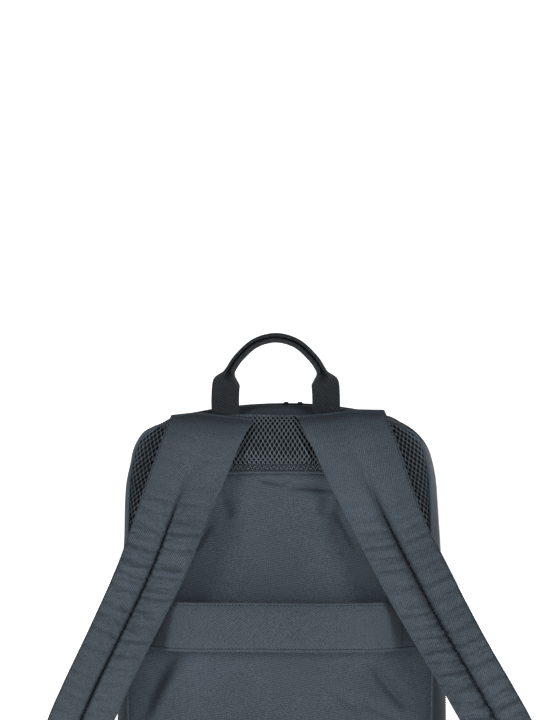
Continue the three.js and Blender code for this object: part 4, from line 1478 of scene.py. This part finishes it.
# Pitch, depth and lean of the cross folds, coarse and fine ones, and the shift between a strap's halves.
FOLD_ROWS = ((14.0, 0.8, 0.10), (8.5, 0.3, -0.10))
FOLD_SHIFT = 0.43
# The groove's stitches pull the cloth in, narrowing the groove and tucking its sides, at these pitches.
GATHER_PITCH = 6.4
GATHER_SHARE = 0.3
TUCK_PITCH = 7.0
TUCK_SHARE = 0.25
TUCK_FROM_GROOVE = 4.6
TUCK_HALF = 2.6


def strap_shape(side):
    """Both faces of a strap, its cloth coordinates, and the depth of its cross folds."""
    sizes = settings()
    sign = -1.0 if side == "left" else 1.0
    drop = np.linspace(STRAP[0][0], STRAP[-1][0], STRAP_ROWS)
    outer = hermite(STRAP_HEAD, STRAP, f"outer_{side}", drop)
    inner = hermite(STRAP_HEAD, STRAP, f"inner_{side}", drop)
    stand = hermite(STRAP_HEAD, STRAP, "stand", drop)[:, None]
    thick = hermite(STRAP_HEAD, STRAP, "thick", drop)[:, None]
    centre = sign * (outer + inner) / 2
    half = (outer - inner)[:, None] / 2
    slope = np.gradient(centre, drop)
    length = np.sqrt(1.0 + slope**2)
    along = np.concatenate([[0.0], np.cumsum((length[1:] + length[:-1]) / 2 * np.diff(drop))])[:, None]
    u = STRAP_COLUMNS[None, :]
    t = np.abs(u)
    aside = sign * u * half
    x = centre[:, None] + aside
    across = aside / length[:, None]
    lean = aside * (slope / length)[:, None]
    run = along + lean
    from_groove = t * half / length[:, None]
    from_edge = (1.0 - t) * half / length[:, None]

    full = STRAP_EDGE + np.maximum(0.0, thick - STRAP_EDGE) * (1.0 - t**3)
    rounded = np.sqrt(1.0 - np.clip(1.0 - from_edge / STRAP_EDGE, 0.0, 1.0) ** 2)
    full = full * (STRAP_EDGE_SHARE + (1.0 - STRAP_EDGE_SHARE) * rounded)
    lobe = LOBE_RISE * np.sin(math.pi * t) * smooth(drop, *LOBE_STARTS)[:, None]
    soft = swells(across, run, STRAP_SWELLS, SWELL_SEED[side]) * (1.0 - t**4)
    gathered = gathering(drop, side)[:, None]
    relief = lobe - strap_groove(side, drop, run, from_groove, gathered) + soft

    depth = (sizes.pucker_left if side == "left" else sizes.pucker_right) / MM
    tuck = 0.5 + 0.5 * np.cos(2 * math.pi * run / TUCK_PITCH + 2.0 * wander(run / 30.0, 4) + 1.5 * u)
    tuck = TUCK_SHARE * tuck * np.exp(-(((from_groove - TUCK_FROM_GROOVE) / TUCK_HALF) ** 2))
    puckers = strap_puckers(u, t, along + np.where(u < 0, *FOLD_LEAN) * lean, FOLD_SEED[side])
    fold = depth * (puckers + tuck) * gathered

    middle = BACK_Y + top_roll(SEAM_TOP - drop)[:, None] - stand - thick / 2
    rise = np.interp(u, STRAP_TOP_AT, STRAP_TOP[side])
    z = SEAM_TOP - drop[:, None] + rise * (1.0 - smooth(drop, *STRAP_TOP_FADES))[:, None]
    face = np.stack([x, middle - full / 2 - relief, z], axis=2)
    under = np.stack([x, middle + full / 2, z], axis=2)
    return face, under, np.stack([across, run], axis=2), fold


def strap_groove(side, drop, run, from_groove, gathered):
    """Depth of a strap's stitched line and of the soft valley round it."""
    gather = np.cos(2 * math.pi * run / GATHER_PITCH + 2.0 * wander(run / 30.0, 4))
    half = GROOVE_HALF[side] * (1.0 + GATHER_SHARE * gathered * gather)
    line = np.exp(-((from_groove / half) ** 3)) * smooth(drop, *GROOVE_STARTS)[:, None]
    valley = np.exp(-((from_groove / VALLEY_HALF[side]) ** 2)) * smooth(drop, *VALLEY_STARTS)[:, None]
    return settings().groove / MM * (GROOVE_SHARE * line + VALLEY_SHARE * valley)


# How much of its cross folds a strap has at its top, and by how much that grows, from which drop to which.
GATHERING = {
    "left": (0.1, ((0.8, 50.0, 110.0), (-0.5, 190.0, 250.0))),
    "right": (0.05, ((0.45, 55.0, 120.0), (0.5, 150.0, 220.0))),
}


def gathering(drop, side):
    """How much a strap's cloth is gathered at each level: most half way down the left strap, and low down
    the right one."""
    share, steps = GATHERING[side]
    for more, low, high in steps:
        share = share + more * smooth(drop, low, high)
    return share


def strap_puckers(u, t, run, seed):
    """Cross folds pulled up by the seams: rounded crests with sharp valleys between them. The two halves
    of a strap differ."""
    total = 0.0
    half = np.where(u < 0, 0.0, FOLD_SHIFT)
    for pitch, share, lean in FOLD_ROWS:
        level = (run / pitch + half + 0.5 * wander(run / 37.0, seed + np.sign(u)) + lean * t) % 1.0
        below = level / FOLD_CREST - 1.0
        above = (level - FOLD_CREST) / (1.0 - FOLD_CREST)
        valley = np.where(level < FOLD_CREST, below, above) ** 2
        strength = 0.7 + 0.3 * wander(run / 23.0 + 2.0 * np.sign(u), seed + 1)
        total = total + share * (valley - 0.2) * strength
    return total * smooth(t, 0.0, 0.10) * (1.0 - smooth(t, 0.92, 1.0))


# Columns on each side of the groove's, share of the half width, and rows at the ends that are sewn down.
SEWN_COLUMNS = 4
SEWN_EDGE = 0.97
SEWN_ROWS = 2


def strap_pins(face):
    """Places of a strap's face that are sewn down: its groove, its edges and its two ends."""
    pins = np.zeros(face.shape[:2], bool)
    pins[:, STRAP_MIDDLE - SEWN_COLUMNS : STRAP_MIDDLE + SEWN_COLUMNS + 1] = True
    pins[:, np.abs(STRAP_COLUMNS) > SEWN_EDGE] = True
    pins[:SEWN_ROWS] = True
    pins[-SEWN_ROWS:] = True
    return pins


# Rows of the strap where its edge stitching and its groove's stitching start, column of the first, how
# far both stand off the cloth, and beads of the second.
EDGE_SEAM_ROW = 10
EDGE_SEAM_COLUMN = int(np.searchsorted(STRAP_COLUMNS, 0.955))
GROOVE_SEAM_ROW = 104
EDGE_SEAM_STAND = 0.1
GROOVE_SEAM_STAND = 0.3
GROOVE_BEADS = (0.0033, 0.0026, 0.0012, 0.0012)


def strap_stitches(side, face):
    """Fine stitches along a strap's outer edge, and coarse ones at the bottom of its groove."""
    thread = materials()["Sewing thread"]
    edge = face[EDGE_SEAM_ROW:-2, EDGE_SEAM_COLUMN] + EDGE_SEAM_STAND * BACKWARD
    dress(stitches(f"strap_{side}_stitches", [(edge, BACKWARD)]), thread, "padded_nylon")
    groove = [(face[GROOVE_SEAM_ROW:-2, STRAP_MIDDLE] + GROOVE_SEAM_STAND * BACKWARD, BACKWARD)]
    sewn = lay_rows(f"strap_{side}_groove_stitches", groove, GROOVE_BEADS, thread)
    dress(sewn, thread, "padded_nylon")


class BACKPACK_OT_straps(bpy.types.Operator):
    """Make the two padded shoulder straps with their stitched grooves"""
    bl_idname = "backpack.straps"
    bl_label = "Shoulder straps"

    def execute(self, context):
        for side in SIDES:
            face, under, uv, fold = strap_shape(side)
            settled = settle(face, strap_pins(face), BACKWARD)
            face = face + (settled - face) * gathering(SEAM_TOP - face[..., 2:], side)
            face = face - fold[..., None] * BACKWARD
            strap = wall_piece(f"strap_{side}_padded", face, under, uv)
            dress(strap, materials()["Strap nylon"], "padded_nylon", f"shoulder_strap_{side}")
            strap_stitches(side, face)
        return {"FINISHED"}


# Band across the back

# The band's stitched edges lie this far in, in grooves of this half width, with the cloth puffed up
# between them. Places of its seams are columns from its edges and shares of its length.
BAND_STITCHED = 3.0
BAND_GROOVE = 0.8
BAND_GROOVE_DEPTH = 0.5
BAND_PUFF = 0.9
BAND_PUFF_FROM = (3.2, 9.0)
BAND_ROUND = 1.2
BAND_SWELLS = ((0.4, 44.0, 2),)
BAND_GRID = (201, 33)
BAND_SEAM_COLUMNS = (2, 30)
BAND_SEAM_ENDS = (0.086, 0.914)
BAND_SEAM_STAND = 0.15
BAND_END_STAND = 0.2


def band_bed(x):
    """Inner face of the band, stood off the back panel."""
    stand = hermite(BAND_HEAD, BAND_STAND, "stand", np.abs(x))
    return back_face(x, np.full_like(x, BAND_MIDDLE)) - stand


class BACKPACK_OT_band(bpy.types.Operator):
    """Make the band across the back, doubled cloth with stitched edges"""
    bl_idname = "backpack.band"
    bl_label = "Band"

    def execute(self, context):
        rows, columns = BAND_GRID
        reach = BAND_STAND[-1][0]
        line = np.linspace(-reach, reach, rows)
        side = np.linspace(-1.0, 1.0, columns)[None, :]
        x = np.broadcast_to(line[:, None], BAND_GRID)
        z = BAND_MIDDLE + side * BAND_HEIGHT / 2 + 0.5 * wander(x / 60.0, 3)
        from_edge = (1.0 - np.abs(side)) * BAND_HEIGHT / 2
        sunk = BAND_GROOVE_DEPTH * np.exp(-(((from_edge - BAND_STITCHED) / BAND_GROOVE) ** 2))
        puff = BAND_PUFF * smooth(from_edge, *BAND_PUFF_FROM) - sunk
        soft = swells(x, z, BAND_SWELLS)
        rounded = np.sqrt(1.0 - np.clip(1.0 - from_edge / BAND_ROUND, 0.0, 0.98) ** 2)
        bed = band_bed(line)[:, None]
        outer = np.stack([x, bed - BAND_THICK * (0.5 + 0.5 * rounded) - puff - soft, z], axis=2)
        inner = np.stack([x, bed - BAND_THICK * (0.5 - 0.5 * rounded) - soft, z], axis=2)
        run = run_along(outer[:, columns // 2])
        uv = np.stack(np.broadcast_arrays(z - BAND_MIDDLE, (run - run[-1] / 2)[:, None]), axis=2)
        band = wall_piece("band_sewn", outer, inner, uv)
        dress(band, materials()["Band cloth"], "band_cloth", "trolley_band")
        edges = [outer[3:-3, column] + BAND_SEAM_STAND * BACKWARD for column in BAND_SEAM_COLUMNS]
        ends = [outer[int(end * (rows - 1)), 2:-2] + BAND_END_STAND * BACKWARD for end in BAND_SEAM_ENDS]
        seams = [(path, BACKWARD) for path in edges + ends]
        sewn = dress(stitches("band_stitches", seams), materials()["Sewing thread"], "band_cloth")
        return {"FINISHED"}


# Carry handle

HANDLE_Y = BACK_Y + float(top_roll(SEAM_TOP)) - HANDLE_STAND
HANDLE_STEPS = 70
HANDLE_COLUMNS = 53
HANDLE_ROUND = 1.2
# Share of the way to the top of the arch over which the webbing folds up.
GRIP_FOLDS = (0.26, 0.58)
# Seam down each sewn end: from its middle, its height, and how far it stands off the webbing's middle.
HANDLE_SEAM_OUT = 46.7
HANDLE_SEAM_HEIGHT = (446.0, 468.0)
HANDLE_SEAM_STAND = 1.25
HANDLE_SEAM_POINTS = 12


def handle_path(count):
    """Middle line of the handle from its left end to its right: share of the way up, x and z."""
    at = np.concatenate([np.linspace(0.0, 1.0, count), np.linspace(1.0, 0.0, count)[1:]])
    sign = np.where(np.arange(len(at)) < count, -1.0, 1.0)
    x = HANDLE_SHIFT + sign * hermite(HANDLE_HEAD, HANDLE, "out", at)
    z = hermite(HANDLE_HEAD, HANDLE, "z", at)
    return at, x, z


def folded_section(share, samples):
    """Webbing folded along its middle: sideways and depth of its middle layer, and its normal."""
    reach = HANDLE_WIDE / 2
    s = np.linspace(-reach, reach, samples)
    fold = share * np.radians(np.where(s < 0, *GRIP_FOLD))
    turn = fold * np.clip(np.abs(s) / GRIP_BEND, 0.0, 1.0)
    step = reach * 2 / (samples - 1)
    aside = np.cumsum(np.cos(turn)) * step
    aside -= (aside.min() + aside.max()) / 2
    middle = samples // 2
    lower = np.cumsum(np.sin(turn[:middle][::-1]) * step)[::-1]
    upper = np.cumsum(np.sin(turn[middle + 1 :]) * step)
    deep = np.concatenate([lower, [0.0], upper])
    normal = np.stack([np.sign(s) * np.sin(turn), np.cos(turn)], axis=1)
    return s, aside, deep, normal


class BACKPACK_OT_handle(bpy.types.Operator):
    """Make the carry handle: webbing sewn flat at its ends and folded double in the grip"""
    bl_idname = "backpack.handle"
    bl_label = "Carry handle"

    def execute(self, context):
        at, x, z = handle_path(HANDLE_STEPS)
        way = np.stack([np.gradient(x), np.gradient(z)], axis=1)
        way /= np.linalg.norm(way, axis=1)[:, None]
        along = run_along(np.stack([x, z], axis=1))
        grip = smooth(at, *GRIP_FOLDS)
        z = z - GRIP_DROP * grip
        half = HANDLE_THICK / 2
        rings, coordinates = [], []
        for i in range(len(at)):
            s, aside, deep, normal = folded_section(grip[i], HANDLE_COLUMNS)
            from_round = np.abs(s) - HANDLE_WIDE / 2 + HANDLE_ROUND
            edge = np.sqrt(1.0 - np.clip(from_round / HANDLE_ROUND, 0.0, 0.9) ** 2)
            layers = []
            for face in (1.0, -1.0):
                sideways = aside + face * half * edge * normal[:, 0]
                depth = deep - deep.max() / 2 - face * half * edge * normal[:, 1]
                layer = np.stack(
                    [x[i] - way[i, 1] * sideways, HANDLE_Y - depth, z[i] + way[i, 0] * sideways], axis=1)
                layers.append(layer if face > 0 else layer[::-1])
            rings.append(np.concatenate(layers))
            row = np.concatenate([s, s[::-1]])
            coordinates.append(np.stack([row, np.full(len(row), along[i])], axis=1))
        handle = tube_piece("carry_handle_folded", np.array(rings), np.array(coordinates))
        dress(handle, materials()["Webbing"], "webbing", "carry_handle")
        seams = []
        level = np.linspace(*HANDLE_SEAM_HEIGHT, HANDLE_SEAM_POINTS)
        for sign in (-1.0, 1.0):
            seam_x = np.full_like(level, HANDLE_SHIFT + sign * HANDLE_SEAM_OUT)
            seam_y = np.full_like(level, HANDLE_Y - HANDLE_SEAM_STAND)
            seams.append((np.stack([seam_x, seam_y, level], axis=1), BACKWARD))
        dress(stitches("handle_stitches", seams), materials()["Sewing thread"], "webbing")
        return {"FINISHED"}


# Adjusters

# A ribbon's edges stay sharp, by this much, where its faces turn by more than this angle.
RIBBON_SHARP = 0.85
RIBBON_TURN = math.radians(55)
RIBBON_LEVELS = 2


def softened(node, name):
    """A smooth copy of a CAD ribbon, with its long edges kept sharp."""
    piece = node_copy(node, name)
    work = bmesh.new()
    work.from_mesh(piece.data)
    crease = work.edges.layers.float.get("crease_edge") or work.edges.layers.float.new("crease_edge")
    for edge in work.edges:
        if len(edge.link_faces) == 2 and edge.calc_face_angle() > RIBBON_TURN:
            edge[crease] = RIBBON_SHARP
    work.to_mesh(piece.data)
    work.free()
    subdivision = piece.modifiers.new("Subdivision", "SUBSURF")
    subdivision.levels = RIBBON_LEVELS
    subdivision.render_levels = RIBBON_LEVELS
    baked(piece)
    piece.data.polygons.foreach_set("use_smooth", [True] * len(piece.data.polygons))
    box_cloth(piece.data)
    return piece


class BACKPACK_OT_adjusters(bpy.types.Operator):
    """Make the ladder locks, their tabs and the lower webbing"""
    bl_idname = "backpack.adjusters"
    bl_label = "Adjusters"

    def execute(self, context):
        made = materials()
        for side in SIDES:
            for node, name in (("lower_webbing", "webbing"), ("adjuster_tab", "tab")):
                ribbon = softened(f"{node}_{side}", f"{name}_{side}")
                dress(ribbon, made["Webbing"], "webbing", f"{node}_{side}")
            lock = bevelled(f"ladder_lock_{side}", f"lock_{side}", width=0.0009, segments=4, degrees=40)
            dress(lock, made["Moulded plastic"], "plastic", f"ladder_lock_{side}")
        return {"FINISHED"}


# Stage

# The floor takes shadows round the bag and turns white further off: the middle of that place, and the
# distances from it at which it starts and is white, in metres.
FLOOR_MIDDLE = (0.0, -0.78, 0.0)
FLOOR_WHITENS = (1.25, 1.95)
# Floor and backdrop in millimetres: half width and columns, stations from the front edge to the bend,
# wall, radius and steps of the bend to it, and height.
FLOOR_HALF = 6000.0
FLOOR_COLUMNS = 9
FLOOR_LEVEL = (-9000.0, -1000.0, 1500.0)
WALL_Y = 9000.0
WALL_BEND = 900.0
BEND_STEPS = 13
WALL_HEIGHT = 5000.0
# Area lights in metres: place, aim, size, and the setting that gives their power.
LIGHTS = {
    "Left": ((-2.3, -2.0, 0.62), (0.0, 0.0, 0.3), (0.9, 0.7), "side"),
    "Right": ((2.3, -2.05, 0.62), (0.0, 0.0, 0.3), (0.9, 0.7), "side"),
    "Front": ((0.0, -3.4, 0.33), (0.0, 0.0, 0.3), (1.6, 0.7), "key"),
    "Far side": ((0.5, 3.0, 0.5), (0.0, 0.0, 0.25), (2.2, 0.8), "far"),
}
# The camera looks at this height of the back and sees this far. It then turns so that the bag lies off
# the picture's middle, as in the photo: to the right and below, in pixels of a picture of that height.
AIM_HEIGHT = 0.3
SENSOR = 36.0
SIGHT = 50.0
PICTURE_HEIGHT = 720.0
BAG_RIGHT_BY = 9.5
BAG_BELOW_BY = 210.0
WHITE = (1.0, 1.0, 1.0)


def area_light(name, place, aim, size, power):
    data = bpy.data.lights.new(name, "AREA")
    data.shape = "RECTANGLE"
    data.size, data.size_y = size
    data.energy = power
    light = bpy.data.objects.new(name, data)
    light.location = place
    light.visible_camera = False
    light.rotation_euler = (Vector(aim) - Vector(place)).to_track_quat("-Z", "Y").to_euler()
    bpy.context.scene.collection.objects.link(light)


def make_camera(scene, stage):
    aim = Vector((0.0, BACK_Y * MM, AIM_HEIGHT))
    level = math.cos(stage.elevation)
    back = Vector((
        math.sin(stage.azimuth) * level, -math.cos(stage.azimuth) * level, math.sin(stage.elevation)))
    camera = bpy.data.objects.new("Camera", bpy.data.cameras.new("Camera"))
    camera.data.lens = stage.lens
    camera.data.sensor_width = SENSOR
    camera.data.clip_end = SIGHT
    camera.location = aim + back * stage.distance
    pixels = stage.lens / SENSOR * PICTURE_HEIGHT
    turn = (-back).to_track_quat("-Z", "Y")
    turn = turn @ Quaternion((0.0, 1.0, 0.0), math.atan(BAG_RIGHT_BY / pixels))
    turn = turn @ Quaternion((1.0, 0.0, 0.0), math.atan(BAG_BELOW_BY / pixels))
    camera.rotation_mode = "QUATERNION"
    camera.rotation_quaternion = turn
    scene.collection.objects.link(camera)
    scene.camera = camera
    scene.view_settings.view_transform = "Standard"


def make_surrounding(scene, stage):
    """A surrounding that is white to look at and gives little light."""
    world = bpy.data.worlds.new("Surrounding")
    world.use_nodes = True
    world.node_tree.nodes.clear()
    sky = Graph(world.node_tree)
    seen = sky.add("ShaderNodeLightPath")
    strength = seen * (1.0 - stage.sky) + stage.sky
    light = sky.add("ShaderNodeBackground", inputs={"Color": (*WHITE, 1.0), "Strength": strength})
    sky.add("ShaderNodeOutputWorld", inputs={"Surface": light})
    scene.world = world


def pale_floor(stage):
    """Pale floor that gives off light, more of it away from the bag."""
    finish = Finish("Pale floor")
    cloud = finish.clouds(3.0, 3.0)
    colour = finish.shades(tuple(stage.floor), 0.98, 1.02, cloud)
    away = finish.add(
        "ShaderNodeVectorMath", {"operation": "DISTANCE"}, {0: finish.place(), 1: FLOOR_MIDDLE}, output=1)
    start, full = FLOOR_WHITENS
    whiter = ((away - start) * (1.0 / (full - start))).capped(0.0, 1.0)
    glow = finish.tones(3 * (stage.glow,), WHITE, whiter)
    light = {"Emission Color": glow, "Emission Strength": 1.0}
    return finish.surface(colour, 0.8 + cloud * 0.1, cloud, 0.0005, light)


def make_floor(stage):
    """The floor, which bends up to a backdrop."""
    x = np.linspace(-FLOOR_HALF, FLOOR_HALF, FLOOR_COLUMNS)[None, :]
    bend = np.linspace(0.0, math.pi / 2, BEND_STEPS)
    bend_y = WALL_Y - WALL_BEND + WALL_BEND * np.sin(bend)
    bend_z = WALL_BEND * (1.0 - np.cos(bend))
    y = np.concatenate([FLOOR_LEVEL, bend_y, [WALL_Y, WALL_Y]])
    z = np.concatenate([np.zeros(len(FLOOR_LEVEL)), bend_z, [WALL_HEIGHT / 2, WALL_HEIGHT]])
    points = np.stack(np.broadcast_arrays(x, y[:, None], z[:, None]), axis=2)
    faces = [tuple(reversed(face)) for face in grid_faces(*points.shape[:2])]
    sweep = new_object("floor", mesh_from("floor", points.reshape(-1, 3), faces))
    sweep.data.materials.append(pale_floor(stage))
    sweep.visible_glossy = False


class BACKPACK_OT_stage(bpy.types.Operator):
    """Make the camera, the soft light and the pale floor"""
    bl_idname = "backpack.stage"
    bl_label = "Stage"

    def execute(self, context):
        scene = context.scene
        stage = scene.backpack_stage
        make_camera(scene, stage)
        for name, (place, aim, size, power) in LIGHTS.items():
            area_light(name, place, aim, size, getattr(stage, power))
        make_surrounding(scene, stage)
        make_floor(stage)
        return {"FINISHED"}


class BACKPACK_PT_panel(bpy.types.Panel):
    """Lists the pieces of the bag and their settings"""
    bl_idname = "BACKPACK_PT_panel"
    bl_label = "Laptop backpack"
    bl_space_type = "VIEW_3D"
    bl_region_type = "UI"
    bl_category = "Backpack"

    def draw(self, context):
        scene = context.scene
        for group in (scene.backpack_sizes, scene.backpack_colours, scene.backpack_stage):
            box = self.layout.box()
            for name in group.__annotations__:
                box.prop(group, name)
        for operator in OPERATORS:
            self.layout.operator(operator.bl_idname)


OPERATORS = (
    BACKPACK_OT_stage,
    BACKPACK_OT_back,
    BACKPACK_OT_body,
    BACKPACK_OT_zip,
    BACKPACK_OT_straps,
    BACKPACK_OT_band,
    BACKPACK_OT_handle,
    BACKPACK_OT_adjusters,
)
CLASSES = (BackpackSizes, BackpackColours, BackpackStage, *OPERATORS, BACKPACK_PT_panel)


def register():
    for item in CLASSES:
        bpy.utils.register_class(item)
    bpy.types.Scene.backpack_sizes = PointerProperty(type=BackpackSizes)
    bpy.types.Scene.backpack_colours = PointerProperty(type=BackpackColours)
    bpy.types.Scene.backpack_stage = PointerProperty(type=BackpackStage)


def unregister():
    del bpy.types.Scene.backpack_stage
    del bpy.types.Scene.backpack_colours
    del bpy.types.Scene.backpack_sizes
    for item in reversed(CLASSES):
        bpy.utils.unregister_class(item)


def main():
    register()
    bpy.ops.backpack.stage()
    bpy.ops.backpack.back()
    bpy.ops.backpack.body()
    bpy.ops.backpack.zip()
    bpy.ops.backpack.straps()
    bpy.ops.backpack.band()
    bpy.ops.backpack.handle()
    bpy.ops.backpack.adjusters()


if __name__ == "__main__":
    main()
